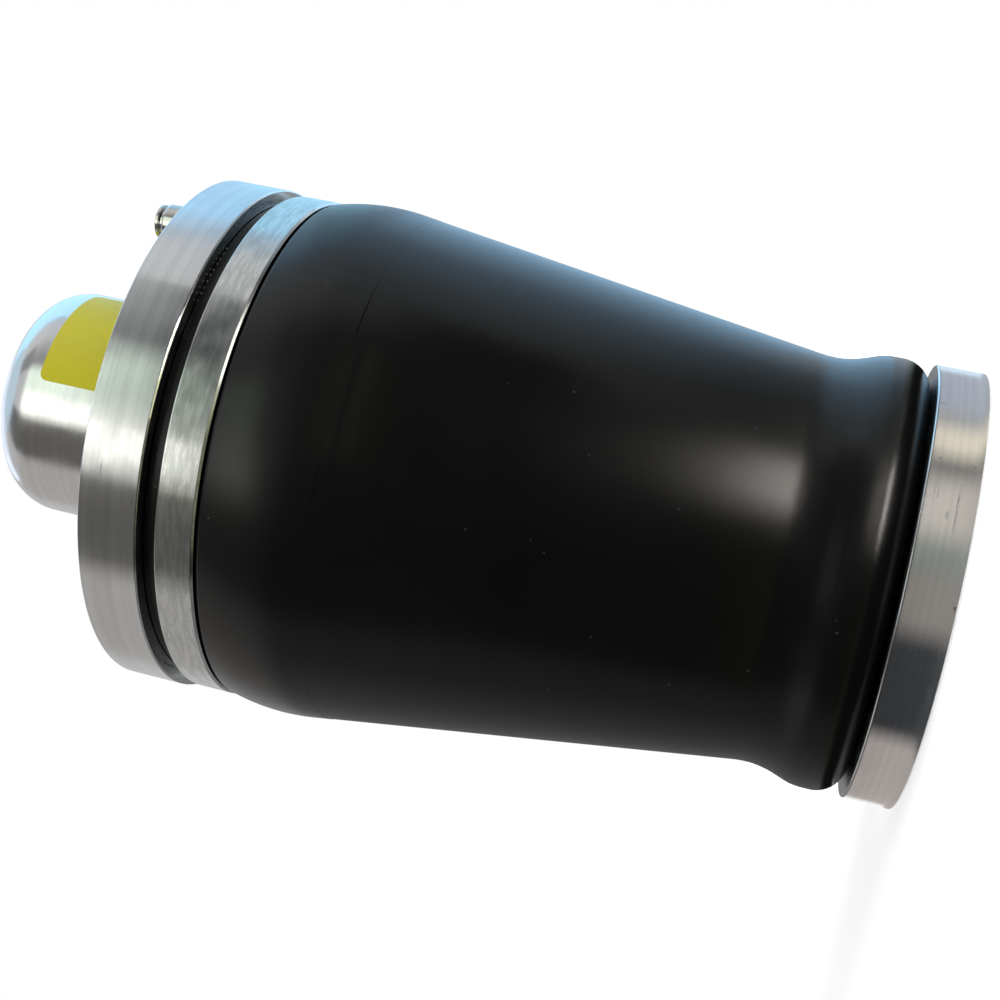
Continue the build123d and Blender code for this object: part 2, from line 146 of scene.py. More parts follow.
def draw_corner(shape: BMesh, before: Vector, corner: Corner, after: Vector) -> tuple[BMVert, BMVert]:
    """Draw one corner of an outline, as a vertex or as an arc spun from a vertex.

    Args:
        shape: The mesh to draw in.
        before: Place of the corner before this one.
        corner: The corner to draw.
        after: Place of the corner after this one.

    Returns:
        The first and the last vertex of the corner.
    """
    middle = corner.point()
    if not corner.rounding:
        vert = shape.verts.new(middle)
        return vert, vert
    arrive = (middle - before).normalized()
    leave = (after - middle).normalized()
    turn = arrive.angle(leave)
    axis = arrive.cross(leave).normalized()
    radius = corner.rounding * MM
    first = shape.verts.new(middle - arrive * radius * math.tan(turn / 2))
    centre = first.co + axis.cross(arrive) * radius
    spun = bmesh.ops.spin(
        shape, geom=[first], cent=centre, axis=axis, dvec=(0, 0, 0), angle=turn,
        steps=corner.steps, use_merge=False, use_duplicate=False,
    )
    last = next(part for part in spun["geom_last"] if isinstance(part, BMVert))
    return first, last


def draw_run(shape: BMesh, start: BMVert, end: BMVert, spacing: float) -> None:
    """Join two corners by a straight run, with a holding vertex near each end.

    Args:
        shape: The mesh to draw in.
        start: Last vertex of the corner that the run leaves.
        end: First vertex of the corner that the run reaches.
        spacing: Longest step along the run in metres, or 0 for no steps.
    """
    length = (end.co - start.co).length
    marks = []
    if length > 4 * HOLD:
        marks = [HOLD / length, 1 - HOLD / length]
    if spacing and length > spacing:
        count = math.ceil(length / spacing)
        marks += [step / count for step in range(1, count)]
    chain = [start]
    chain += [shape.verts.new(start.co.lerp(end.co, mark)) for mark in sorted(marks)]
    chain.append(end)
    for near, far in pairwise(chain):
        shape.edges.new((near, far))


def sweep_round(shape: BMesh, angle: float, steps: int, rise: float = 0.0, merge: bool = False,
                copy: bool = False) -> None:
    """Spin all of a shape round the spring's axis.

    Args:
        shape: The mesh to spin.
        angle: The whole turn in radians.
        steps: Number of steps.
        rise: Climb at each step in metres.
        merge: Whether the last step closes on the first.
        copy: Whether the steps are copies and leave no surface between them.
    """
    bmesh.ops.spin(
        shape, geom=shape.verts[:] + shape.edges[:] + shape.faces[:], cent=(0, 0, 0), axis=(0, 0, 1),
        dvec=(0, 0, rise), angle=angle, steps=steps, use_merge=merge, use_duplicate=copy,
    )


@dataclass(frozen=True)
class Turning:
    """A shape turned from a half outline, closed on itself or open from pole to pole.

    Each row is a corner: radius and height, and for a rounded one its rounding and steps.
    """

    rows: Sequence[Row]
    closed: bool = True
    steps: int = 192
    spacing: float = 0.0

    def shape(self) -> BMesh:
        """Draw the outline and spin it round the spring's axis.

        Returns:
            The turned mesh, with its faces pointing outwards.
        """
        shape = bmesh.new()
        corners = [Corner(*row) for row in self.rows]
        points = [corner.point() for corner in corners]
        ends = []
        for index, corner in enumerate(corners):
            after = points[(index + 1) % len(points)]
            ends.append(draw_corner(shape, points[index - 1], corner, after))
        joins = list(zip(ends, ends[1:] + ends[:1]))
        if not self.closed:
            joins.pop()
        for (_, last), (first, _) in joins:
            draw_run(shape, last, first, self.spacing * MM)
        sweep_round(shape, FULL_TURN, self.steps, merge=True)
        bmesh.ops.remove_doubles(shape, verts=shape.verts, dist=NEAR)
        bmesh.ops.recalc_face_normals(shape, faces=shape.faces)
        return shape


def shift(shape: BMesh, x: float = 0.0, z: float = 0.0) -> BMesh:
    """Move a shape by millimetres and give it back."""
    bmesh.ops.translate(shape, verts=shape.verts, vec=(x * MM, 0, z * MM))
    return shape


def spread_round(shape: BMesh, count: int) -> BMesh:
    """Turn a shape by half a space and copy it evenly round the spring's axis.

    Args:
        shape: The mesh to turn and copy.
        count: Number of places in all.

    Returns:
        The same mesh, with its copies.
    """
    matrix = Matrix.Rotation(FULL_TURN / 2 / count, 3, "Z")
    bmesh.ops.rotate(shape, verts=shape.verts, cent=(0, 0, 0), matrix=matrix)
    sweep_round(shape, FULL_TURN * (count - 1) / count, count - 1, copy=True)
    return shape


def hole_tools(rows: Sequence[Row], steps: int, at: float, count: int = 1) -> BMesh:
    """Turn the cutter of a hole and set it at each place of that hole.

    Args:
        rows: Half outline of the cutter, from pole to pole.
        steps: Steps of its turning.
        at: Distance from the spring's axis.
        count: Number of holes, which stand evenly round the axis if there are more than one.

    Returns:
        The cutters at all the holes.
    """
    tool = shift(Turning(rows, closed=False, steps=steps).shape(), x=at)
    return spread_round(tool, count) if count > 1 else tool


def thread_coil(crest: float, root: float, pitch: float, low: float, high: float) -> BMesh:
    """Wind the ridge of an internal thread.

    Args:
        crest: Radius at the ridge's point.
        root: Radius at the ridge's foot.
        pitch: Rise in one turn.
        low: Height of the lowest point.
        high: Height of the highest point.

    Returns:
        The coil as a closed mesh round the spring's axis.
    """
    shape = bmesh.new()
    foot = COIL_FOOT * pitch
    section = [(root, low), (crest, low + foot / 2), (root, low + foot)]
    verts = [shape.verts.new((radius * MM, 0, height * MM)) for radius, height in section]
    for near, far in zip(verts, verts[1:] + verts[:1]):
        shape.edges.new((near, far))
    steps = round((high - low - foot) / pitch * COIL_STEPS)
    sweep_round(shape, FULL_TURN * steps / COIL_STEPS, steps, rise=pitch * MM / COIL_STEPS)
    ends = [edge for edge in shape.edges if edge.is_boundary]
    bmesh.ops.holes_fill(shape, edges=ends, sides=4)
    bmesh.ops.recalc_face_normals(shape, faces=shape.faces)
    return shape


def wrapped_film(radius: float, low: float, high: float, facings: tuple[float, float],
                 rounding: float, thickness: float) -> BMesh:
    """Bend a thin film with rounded corners round the spring's axis.

    Args:
        radius: Radius of its inner face.
        low: Height of its lower edge.
        high: Height of its upper edge.
        facings: Facings of its two upright edges.
        rounding: Radius of its corners.
        thickness: Thickness of the film.

    Returns:
        The film as a closed mesh.
    """
    shape = bmesh.new()
    bmesh.ops.create_grid(shape, x_segments=1, y_segments=1, size=0.5)
    outer = (radius + thickness) * MM
    width = outer * math.radians(facings[1] - facings[0])
    bmesh.ops.scale(shape, vec=(width, (high - low) * MM, 1), verts=shape.verts)
    bmesh.ops.bevel(
        shape, geom=shape.verts[:], offset=rounding * MM, offset_type="OFFSET", segments=8,
        profile=0.5, affect="VERTICES", material=-1,
    )
    for index in range(1, FILM_CUTS):
        bmesh.ops.bisect_plane(
            shape, geom=shape.verts[:] + shape.edges[:] + shape.faces[:], dist=NEAR,
            plane_co=(width * (index / FILM_CUTS - 0.5), 0, 0), plane_no=(1, 0, 0),
        )
    middle = facing_turn(sum(facings) / 2)
    for vert in shape.verts:
        turn = middle + vert.co.x / outer
        height = vert.co.y + (low + high) / 2 * MM
        vert.co = (outer * math.cos(turn), outer * math.sin(turn), height)
    bmesh.ops.recalc_face_normals(shape, faces=shape.faces)
    face_out(shape)
    bmesh.ops.solidify(shape, geom=shape.faces[:], thickness=thickness * MM)
    return shape


def face_out(shape: BMesh, outwards: bool = True) -> None:
    """Turn the faces of an open wall away from the spring's axis, or towards it.

    Args:
        shape: The wall, with its faces in one sense.
        outwards: Whether the faces are to point away from the axis.
    """
    face = max(shape.faces, key=lambda each: abs(each.normal.x) + abs(each.normal.y))
    middle = face.calc_center_median()
    away = face.normal.x * middle.x + face.normal.y * middle.y > 0
    if away != outwards:
        bmesh.ops.reverse_faces(shape, faces=shape.faces)


def crease(mesh: bpy.types.Mesh) -> None:
    """Shade a mesh smooth, with its creases sharp."""
    mesh.shade_smooth()
    mesh.set_sharp_from_angle(angle=CREASE)


def make_piece(shape: BMesh, name: str) -> Piece:
    """Turn a finished shape into an object of the scene.

    Args:
        shape: The mesh, which is freed.
        name: Name of the piece.

    Returns:
        The new object, smooth with sharp creases.
    """
    mesh = bpy.data.meshes.new(name)
    shape.to_mesh(mesh)
    shape.free()
    crease(mesh)
    piece = bpy.data.objects.new(name, mesh)
    bpy.context.scene.collection.objects.link(piece)
    return piece


def carve(piece: Piece, tools: Iterable[BMesh], operation: str = "DIFFERENCE") -> Piece:
    """Cut tools out of a piece, or join or intersect them with it.

    Args:
        piece: The piece to change.
        tools: The shapes to apply, one after another.
        operation: Name of the Boolean operation.

    Returns:
        The same piece, with its new mesh.
    """
    cutters = [make_piece(tool, "tool") for tool in tools]
    for cutter in cutters:
        modifier = piece.modifiers.new("carve", "BOOLEAN")
        modifier.operation = operation
        modifier.solver = "EXACT"
        modifier.object = cutter
    result = piece.evaluated_get(bpy.context.evaluated_depsgraph_get())
    piece.data = bpy.data.meshes.new_from_object(result)
    piece.modifiers.clear()
    piece.data.name = piece.name
    crease(piece.data)
    for cutter in cutters:
        bpy.data.objects.remove(cutter)
    return piece


# Shader nodes


class Bench:
    """Places and joins the nodes of one tree."""

    def __init__(self, tree: Tree) -> None:
        """Keep the tree to work in."""
        self.tree = tree

    def node(self, kind: str, *values: object, **settings: object) -> Node:
        """Place a node.

        Args:
            kind: Its type, without the word that all of them start with.
            values: Sockets or plain values for its first inputs.
            settings: Its own options.

        Returns:
            The node.
        """
        node = self.tree.nodes.new("ShaderNode" + kind)
        for name, value in settings.items():
            setattr(node, name, value)
        for socket, value in zip(node.inputs, values):
            self.feed(socket, value)
        return node

    def feed(self, socket: Socket, value: object) -> None:
        """Join a socket to another one, or give it a plain value.

        Args:
            socket: The input to feed.
            value: The other socket, or the value.
        """
        if isinstance(value, Socket):
            self.tree.links.new(value, socket)
        else:
            socket.default_value = value

    def fill(self, node: Node, **values: object) -> Outputs:
        """Feed a node's inputs by name.

        Args:
            node: The node.
            values: Sockets or plain values, each under its input's name.

        Returns:
            The node's outputs.
        """
        for name, value in values.items():
            self.feed(node.inputs[name.replace("_", " ")], value)
        return node.outputs

    def math(self, operation: str, *values: object, clamp: bool = False) -> Socket:
        """Place a Math node and give its result, which may be kept from 0 to 1."""
        return self.node("Math", *values, operation=operation, use_clamp=clamp).outputs[0]

    def vector(self, operation: str, *values: object) -> Node:
        """Place a Vector Math node and give the node back."""
        return self.node("VectorMath", *values, operation=operation)

    def remap(self, value: Socket, low: float, high: float, to_low: float = 0.0,
              to_high: float = 1.0, smooth: bool = True) -> Socket:
        """Map a value from one range to another, kept inside it.

        Args:
            value: The value to map.
            low: Where the range starts.
            high: Where the range ends.
            to_low: Result at the start.
            to_high: Result at the end.
            smooth: Whether the step is smooth.

        Returns:
            The mapped value.
        """
        kind = "SMOOTHSTEP" if smooth else "LINEAR"
        node = self.node("MapRange", value, low, high, to_low, to_high, interpolation_type=kind)
        return node.outputs[0]

    def mix(self, factor: object, first: object, second: object) -> Socket:
        """Mix two colours.

        Args:
            factor: Share of the second colour.
            first: The first colour.
            second: The second colour.

        Returns:
            The mixed colour.
        """
        node = self.node("Mix", factor, data_type="RGBA")
        for index, value in ((6, first), (7, second)):
            self.feed(node.inputs[index], (*value, 1.0) if isinstance(value, tuple) else value)
        return node.outputs[2]

    def noise(self, place: Socket, scale: object, detail: float = 2.0, rough: float = 0.5) -> Socket:
        """Place a Noise Texture and give its value."""
        node = self.node("TexNoise")
        return self.fill(node, Vector=place, Scale=scale, Detail=detail, Roughness=rough)[0]

    def split(self, place: Socket) -> tuple[Socket, Socket, Socket]:
        """Part a vector into its three numbers."""
        x, y, z = self.node("SeparateXYZ", place).outputs
        return x, y, z

    def join(self, x: object, y: object, z: object) -> Socket:
        """Make a vector of three numbers."""
        return self.node("CombineXYZ", x, y, z).outputs[0]

    def length(self, x: Socket, y: Socket) -> Socket:
        """Give the length of a flat vector, such as the distance from the spring's axis."""
        return self.vector("LENGTH", self.join(x, y, 0.0)).outputs["Value"]

    def group(self, tree: Tree, **inputs: object) -> Outputs:
        """Place a node group with its inputs and give its outputs."""
        return self.fill(self.node("Group", node_tree=tree), **inputs)

    def bump(self, height: Socket, depth: float) -> Socket:
        """Turn a height from 0 to 1 into a normal, with its depth in millimetres."""
        return self.fill(self.node("Bump"), Distance=depth * MM, Height=height)[0]


class Effect(Enum):
    """Surface effects that more than one finish uses, each built once as a node group."""

    TURNING = "turning lines"
    GRAIN = "fine grain"
    # The rim group makes a lighter band along edges: partly wear, partly a painted highlight.
    RIM = "rim wear and painted highlight"
    SCUFF = "scuff"
    DUST = "dust specks"

    def tree(self) -> Tree:
        """Give the effect's node group, which is built at its first use.

        Returns:
            The node group.
        """
        ready = bpy.data.node_groups.get(self.value)
        if ready:
            return ready
        inputs, outputs, wire = EFFECT_PARTS[self]
        tree = bpy.data.node_groups.new(self.value, "ShaderNodeTree")
        for name, default in inputs.items():
            kind = "NodeSocketVector" if isinstance(default, tuple) else "NodeSocketFloat"
            socket = tree.interface.new_socket(name, in_out="INPUT", socket_type=kind)
            socket.default_value = default
        for name in outputs:
            tree.interface.new_socket(name, in_out="OUTPUT", socket_type="NodeSocketFloat")
        enter = tree.nodes.new("NodeGroupInput")
        leave = tree.nodes.new("NodeGroupOutput")
        bench = Bench(tree)
        results = wire(bench, enter.outputs)
        for name, result in zip(outputs, results):
            bench.feed(leave.inputs[name], result)
        return tree


def wire_turning(bench: Bench, given: Outputs) -> tuple[Socket, ...]:
    """Wire lines that a cutting tool leaves round the axis, on rims and faces alike.

    Args:
        bench: The bench of the group's tree.
        given: The group's inputs.

    Returns:
        A fine and a broad set of lines.
    """
    x, y, z = bench.split(given["Place"])
    sideways = bench.math("MULTIPLY", x, given["Drift"])
    endways = bench.math("MULTIPLY", y, given["Drift"])
    across = bench.math("DIVIDE", bench.math("ADD", z, bench.length(x, y)), given["Pitch"])
    place = bench.join(sideways, endways, across)
    return bench.noise(place, 1.0, detail=3.0, rough=0.6), bench.noise(place, BROAD_LINES, detail=1.0)


def wire_grain(bench: Bench, given: Outputs) -> tuple[Socket, ...]:
    """Wire an even grain with a slower drift in tone over it.

    Args:
        bench: The bench of the group's tree.
        given: The group's inputs.

    Returns:
        The grain and the drift.
    """
    scale = bench.math("DIVIDE", 1.0, given["Size"])
    grain = bench.noise(given["Place"], scale, detail=4.0, rough=0.65)
    return grain, bench.noise(given["Place"], bench.math("MULTIPLY", scale, SLOW_DRIFT))


def wire_rim_wear_and_highlight(bench: Bench, given: Outputs) -> tuple[Socket, ...]:
    """Wire a broken band of wear and painted highlight along a round edge.

    Args:
        bench: The bench of the group's tree.
        given: The group's inputs.

    Returns:
        The mask of the wear and painted highlight.
    """
    x, y, z = bench.split(given["Place"])
    out = bench.math("SUBTRACT", bench.length(x, y), given["Radius"])
    away = bench.length(out, bench.math("SUBTRACT", z, given["Height"]))
    near = bench.math("SUBTRACT", 1.0, bench.math("DIVIDE", away, given["Reach"]), clamp=True)
    broken = bench.remap(bench.noise(given["Place"], RIM_BREAKS, detail=4.0), 0.36, 0.60)
    return (bench.math("MULTIPLY", near, broken),)


def wire_scuff(bench: Bench, given: Outputs) -> tuple[Socket, ...]:
    """Wire one worn stroke on the side that a direction faces.

    Args:
        bench: The bench of the group's tree.
        given: The group's inputs.

    Returns:
        The mask of the stroke.
    """
    ragged = bench.fill(bench.node("TexNoise"), Vector=given["Place"], Scale=SCUFF_RAGGED)
    sway = bench.vector("SUBTRACT", ragged["Color"], (0.5, 0.5, 0.5)).outputs[0]
    swing = bench.fill(bench.vector("SCALE", sway), Scale=SCUFF_SWAY)[0]
    x, y, z = bench.split(bench.vector("ADD", given["Place"], swing).outputs[0])
    way_x, way_y, _ = bench.split(given["Facing"])
    front = bench.math("ADD", bench.math("MULTIPLY", x, way_x), bench.math("MULTIPLY", y, way_y))
    along = bench.math("SUBTRACT", bench.math("MULTIPLY", y, way_x), bench.math("MULTIPLY", x, way_y))
    up = bench.math("SUBTRACT", z, given["Height"])
    share_along = bench.math("DIVIDE", along, given["Length"])
    inside = bench.remap(bench.length(share_along, bench.math("DIVIDE", up, given["Width"])), 0.5, 0.12)
    seen = bench.math("GREATER_THAN", front, 0.0)
    patchy = bench.remap(bench.noise(given["Place"], SCUFF_PATCHES, detail=3.0), 0.30, 0.62)
    return (bench.math("MULTIPLY", bench.math("MULTIPLY", inside, seen), patchy),)


def wire_dust(bench: Bench, given: Outputs) -> tuple[Socket, ...]:
    """Wire sparse specks of uneven size.

    Args:
        bench: The bench of the group's tree.
        given: The group's inputs.

    Returns:
        The mask of the specks.
    """
    scale = bench.math("DIVIDE", 1.0, given["Spread"])
    cells = bench.fill(bench.node("TexVoronoi"), Vector=given["Place"], Scale=scale)
    red, _, _ = bench.split(cells["Color"])
    kept = bench.math("GREATER_THAN", red, bench.math("SUBTRACT", 1.0, given["Amount"]))
    return (bench.math("MULTIPLY", bench.remap(cells["Distance"], 0.16, 0.05), kept),)


EFFECT_PARTS = {
    Effect.TURNING: (
        {"Place": ORIGIN, "Pitch": 0.5 * MM, "Drift": 12.0}, ("Fine", "Broad"), wire_turning,
    ),
    Effect.GRAIN: ({"Place": ORIGIN, "Size": 0.5 * MM}, ("Grain", "Drift"), wire_grain),
    Effect.RIM: (
        {"Place": ORIGIN, "Radius": 0.08, "Height": 0.0, "Reach": 0.001}, ("Mask",), wire_rim_wear_and_highlight,
    ),
    Effect.SCUFF: (
        {"Place": ORIGIN, "Facing": (1.0, 0.0, 0.0), "Height": 0.0, "Length": 0.01, "Width": 0.001},
        ("Mask",),
        wire_scuff,
    ),
    Effect.DUST: ({"Place": ORIGIN, "Spread": 3 * MM, "Amount": 0.1}, ("Mask",), wire_dust),
}


# Finishes


def blank_material(name: str, kind: str) -> tuple[Material, Bench, Node]:
    """Make a material with only its shader and output.

    Args:
        name: Name of the material.
        kind: Type of its shader node.

    Returns:
        The material, a bench on its tree and its shader node.
    """
    material = bpy.data.materials.new(name)
    material.use_nodes = True
    material.node_tree.nodes.clear()
    bench = Bench(material.node_tree)
    shader = bench.node(kind)
    bench.node("OutputMaterial", shader.outputs[0])
    return material, bench, shader


class Finish:
    """A finish, whose material is wired at its first use and then shared."""

    made: ClassVar[dict[str, Material]] = {}
    name: str

    def material(self) -> Material:
        """Give the finish's material.

        Returns:
            The material.
        """
        if self.name not in self.made:
            material, bench, shader = blank_material(self.name, "BsdfPrincipled")
            self.wire(bench, shader)
            self.made[self.name] = material
        return self.made[self.name]


@dataclass(frozen=True)
class RimWearAndHighlight:
    """A round edge that wears and carries a painted highlight: radius, height and reach in millimetres."""

    radius: float
    height: float
    reach: float = 0.8


@dataclass(frozen=True)
class Scuff:
    """A dark stroke: facing in degrees, the rest in millimetres."""

    facing: float
    height: float
    length: float
    width: float
    strength: float

    def way(self) -> Colour:
        """Give the direction that the stroke faces."""
        turn = facing_turn(self.facing)
        return math.cos(turn), math.sin(turn), 0.0


@dataclass(frozen=True)
class Metal(Finish):
    """A bare or plated metal with tool lines, grain, worn rims with a painted highlight, and scuffs."""

    name: str
    colour: Colour = (0.72, 0.73, 0.74)
    dark: Colour = (0.55, 0.56, 0.57)
    roughness: float = 0.28
    rough_swing: float = 0.14
    pitch: float = 0.45
    drift: float = 14.0
    line_depth: float = 0.004
    grain_size: float = 0.5
    grain_depth: float = 0.0
    grain_tone: float = 0.0
    anisotropic: float = 0.0
    rims: tuple[RimWearAndHighlight, ...] = ()
    scuffs: tuple[Scuff, ...] = ()
    centre: tuple[float, float] = (0.0, 0.0)

    def wire(self, bench: Bench, shader: Node) -> None:
        """Wire the metal.

        Args:
            bench: The bench of the material's tree.
            shader: Its shader node.
        """
        place = bench.node("TexCoord").outputs["Object"]
        if any(self.centre):
            back = (-self.centre[0] * MM, -self.centre[1] * MM, 0)
            place = bench.fill(bench.node("Mapping"), Location=back, Vector=place)[0]
        lines = bench.group(Effect.TURNING.tree(), Place=place, Pitch=self.pitch * MM, Drift=self.drift)
        grain = bench.group(Effect.GRAIN.tree(), Place=place, Size=self.grain_size * MM)
        tone = bench.remap(lines["Broad"], 0.32, 0.70)
        if self.grain_tone:
            speck = bench.remap(lines["Fine"], 0.40, 0.62, 0.0, self.grain_tone)
            tone = bench.math("ADD", tone, speck, clamp=True)
        colour = bench.mix(tone, self.colour, self.dark)
        rough = bench.remap(lines["Fine"], 0.25, 0.75, self.roughness, self.roughness + self.rough_swing)
        rough = bench.math("ADD", rough, bench.remap(grain["Drift"], 0.35, 0.65, -0.03, 0.05))
        # Each rim paints a lighter, smoother band of metal along its edge: partly wear, partly a painted
        # highlight.
        for rim in self.rims:
            worn = bench.group(
                Effect.RIM.tree(), Place=place, Radius=rim.radius * MM, Height=rim.height * MM,
                Reach=rim.reach * MM,
            )["Mask"]
            colour = bench.mix(bench.math("MULTIPLY", worn, WEAR_AND_HIGHLIGHT_COVER), colour, WEAR_AND_HIGHLIGHT_METAL)
            rough = bench.math("SUBTRACT", rough, bench.math("MULTIPLY", worn, WEAR_POLISH))
        for scuff in self.scuffs:
            mask = bench.group(
                Effect.SCUFF.tree(), Place=place, Facing=scuff.way(), Height=scuff.height * MM,
                Length=scuff.length * MM, Width=scuff.width * MM,
            )["Mask"]
            mask = bench.math("MULTIPLY", mask, scuff.strength)
            colour = bench.mix(mask, colour, SCUFF_DIRT)
            rough = bench.math("ADD", rough, bench.math("MULTIPLY", mask, SCUFF_ROUGH))
        height = bench.math("MULTIPLY", lines["Fine"], self.line_depth)
        raised = bench.math("MULTIPLY", grain["Grain"], self.grain_depth)
        normal = bench.bump(bench.math("ADD", height, raised), 1.0)
        bench.fill(shader, Base_Color=colour, Roughness=rough, Normal=normal, Metallic=1.0)
        if self.anisotropic:
            tangent = bench.node("Tangent", direction_type="RADIAL", axis="Z").outputs[0]
            bench.fill(
                shader, Anisotropic=self.anisotropic, Anisotropic_Rotation=0.25, Tangent=tangent
            )


@dataclass(frozen=True)
class Polymer(Finish):
    """A rubber, plastic or foam with a fine skin, slow blotches and a little dust."""

    name: str
    colour: Colour = (0.006, 0.006, 0.006)
    pale: Colour = (0.012, 0.012, 0.012)
    roughness: float = 0.38
    rough_swing: float = 0.08
    specular: float = 0.2
    skin_size: float = 0.9
    skin_depth: float = 0.006
    dust: float = 0.04
    dust_spread: float = 3.0
    follows_rest: bool = False

    def wire(self, bench: Bench, shader: Node) -> None:
        """Wire the polymer.

        Args:
            bench: The bench of the material's tree.
            shader: Its shader node.
        """
        place = bench.node("TexCoord").outputs["Object"]
        if self.follows_rest:
            x, y, _ = bench.split(place)
            height = bench.node("Attribute", attribute_name=REST_HEIGHT).outputs["Fac"]
            place = bench.join(x, y, height)
        skin = bench.group(Effect.GRAIN.tree(), Place=place, Size=self.skin_size * MM)
        colour = bench.mix(bench.remap(skin["Drift"], 0.15, 0.85), self.colour, self.pale)
        specks = bench.group(
            Effect.DUST.tree(), Place=place, Spread=self.dust_spread * MM, Amount=self.dust
        )["Mask"]
        colour = bench.mix(bench.math("MULTIPLY", specks, 0.35), colour, DUST_TONE)
        rough = bench.remap(skin["Drift"], 0.1, 0.9, self.roughness, self.roughness + self.rough_swing)
        normal = bench.bump(skin["Grain"], self.skin_depth)
        bench.fill(
            shader, Base_Color=colour, Roughness=rough, Normal=normal, Specular_IOR_Level=self.specular
        )


@dataclass(frozen=True)
class Film(Finish):
    """A printed self-adhesive film with a fine grain, an uneven tone and grimy specks."""

    name: str
    colour: Colour = (0.56, 0.51, 0.012)
    worn: Colour = (0.47, 0.43, 0.02)
    grime: Colour = (0.20, 0.17, 0.06)

    def wire(self, bench: Bench, shader: Node) -> None:
        """Wire the film.

        Args:
            bench: The bench of the material's tree.
            shader: Its shader node.
        """
        place = bench.node("TexCoord").outputs["Object"]
        fibre = bench.group(Effect.GRAIN.tree(), Place=place, Size=0.8 * MM)
        colour = bench.mix(bench.remap(fibre["Drift"], 0.4, 0.75, 0.0, 0.6), self.colour, self.worn)
        specks = bench.group(Effect.DUST.tree(), Place=place, Spread=2.2 * MM, Amount=0.12)["Mask"]
        colour = bench.mix(bench.math("MULTIPLY", specks, 0.5), colour, self.grime)
        rough = bench.remap(fibre["Grain"], 0.3, 0.7, 0.32, 0.46)
        normal = bench.bump(fibre["Grain"], 0.01)
        bench.fill(shader, Base_Color=colour, Roughness=rough, Normal=normal, Specular_IOR_Level=0.3)


PLATE_METAL = Metal(
    "turned_aluminium", dark=(0.64, 0.65, 0.66), roughness=0.15, rough_swing=0.05, pitch=0.35,
    line_depth=0.0012, anisotropic=0.7, rims=(RimWearAndHighlight(80.0, 234.0), RimWearAndHighlight(80.0, 216.5)),
    scuffs=(Scuff(-12, 228, 9, 0.5, 0.5), Scuff(-19, 225, 7, 0.5, 0.4), Scuff(-16.5, 218, 8, 0.6, 0.5)),
)
FOOT_METAL = Metal(
    "turned_aluminium_foot", dark=(0.66, 0.67, 0.68), roughness=0.20, rough_swing=0.03, pitch=0.35,
    line_depth=0.0004, anisotropic=0.7, rims=(RimWearAndHighlight(65.0, 14.5), RimWearAndHighlight(65.0, 0.0)),
    scuffs=(
        Scuff(19.5, 5.5, 21, 0.7, 0.75),
        Scuff(17.5, 7.7, 3.4, 1.4, 0.55),
        Scuff(50, 12.6, 0.6, 3.2, 0.7),
        Scuff(31.5, 11.6, 1.0, 0.9, 0.6),
        Scuff(31, 3.4, 1.6, 3.0, 0.3),
        Scuff(-3, 1.2, 2.0, 1.2, 0.8),
    ),
)
BAND_METAL = Metal(
    "crimp_band_metal", colour=(0.72, 0.73, 0.72), dark=(0.54, 0.56, 0.55), roughness=0.15,
    rough_swing=0.05, pitch=0.20, drift=900.0, line_depth=0.0006, grain_size=0.45, grain_depth=0.0004,
    grain_tone=0.55, anisotropic=0.4, rims=(RimWearAndHighlight(79.0, 200.0), RimWearAndHighlight(79.0, 211.5)),
)
CAP_METAL = Metal(
    "cap_aluminium", colour=(0.76, 0.76, 0.77), dark=(0.70, 0.70, 0.71), roughness=0.17,
    rough_swing=0.04, line_depth=0.0006, anisotropic=0.6,
)
ZINC_STEEL = Metal("zinc_steel", colour=(0.62, 0.63, 0.64), dark=(0.48, 0.48, 0.47), roughness=0.32)
SPRING_STEEL = Metal("spring_steel", colour=(0.30, 0.30, 0.31), dark=(0.20, 0.20, 0.21), roughness=0.36)
NICKEL_BRASS = Metal(
    "nickel_brass", colour=(0.70, 0.69, 0.66), dark=(0.60, 0.58, 0.55), roughness=0.10,
    rough_swing=0.05, pitch=0.25, line_depth=0.001, centre=(67.0, 0.0),
)
SLEEVE_RUBBER = Polymer(
    "sleeve_rubber", colour=(0.0028, 0.0028, 0.0028), pale=(0.0040, 0.0039, 0.0038), specular=0.4,
    roughness=0.27, rough_swing=0.0, skin_size=0.7, skin_depth=0.03, follows_rest=True,
)
SEAL_RUBBER = Polymer("seal_rubber", roughness=0.45)
PISTON_PLASTIC = Polymer(
    "piston_plastic", colour=(0.014, 0.014, 0.015), pale=(0.024, 0.024, 0.026), roughness=0.42,
    specular=0.4, skin_size=0.5, skin_depth=0.01,
)
STRIKE_PLASTIC = Polymer("strike_plastic", colour=(0.60, 0.58, 0.52), pale=(0.70, 0.68, 0.62), specular=0.5)
BUMPER_FOAM = Polymer(
    "bumper_foam", colour=(0.72, 0.58, 0.30), pale=(0.80, 0.68, 0.42), roughness=0.7,
    specular=0.3, skin_size=0.7, skin_depth=0.08,
)
# Pale cord ends: their colour is their own, but they stand only where light falls on the edge, as painted
# light.
LIT_CORD_END = Polymer("lit_cord_end", colour=(0.16, 0.16, 0.15), pale=(0.26, 0.26, 0.24), roughness=0.8, dust=0.0)
LABEL_FILM = Film("label_film")


def paint(piece: Piece, material: Material) -> None:
    """Give a piece its one material."""
    piece.data.materials.clear()
    piece.data.materials.append(material)


def dress(piece: Piece, finish: Finish, body: Body | None,
          stands_for: Sequence[str] = ()) -> None:
    """Give a new piece its material and its body, and hide the frame's nodes that it stands for.

    Args:
        piece: The finished piece.
        finish: Its finish.
        body: The body that it rides on, or none for a piece that rides on no body.
        stands_for: The frame's nodes that it stands for.
    """
    paint(piece, finish.material())
    if body:
        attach(piece, body.value)
    if stands_for:
        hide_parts(*stands_for)
    log.info("%s: %d faces", piece.name, len(piece.data.polygons))


# Sub-assemblies


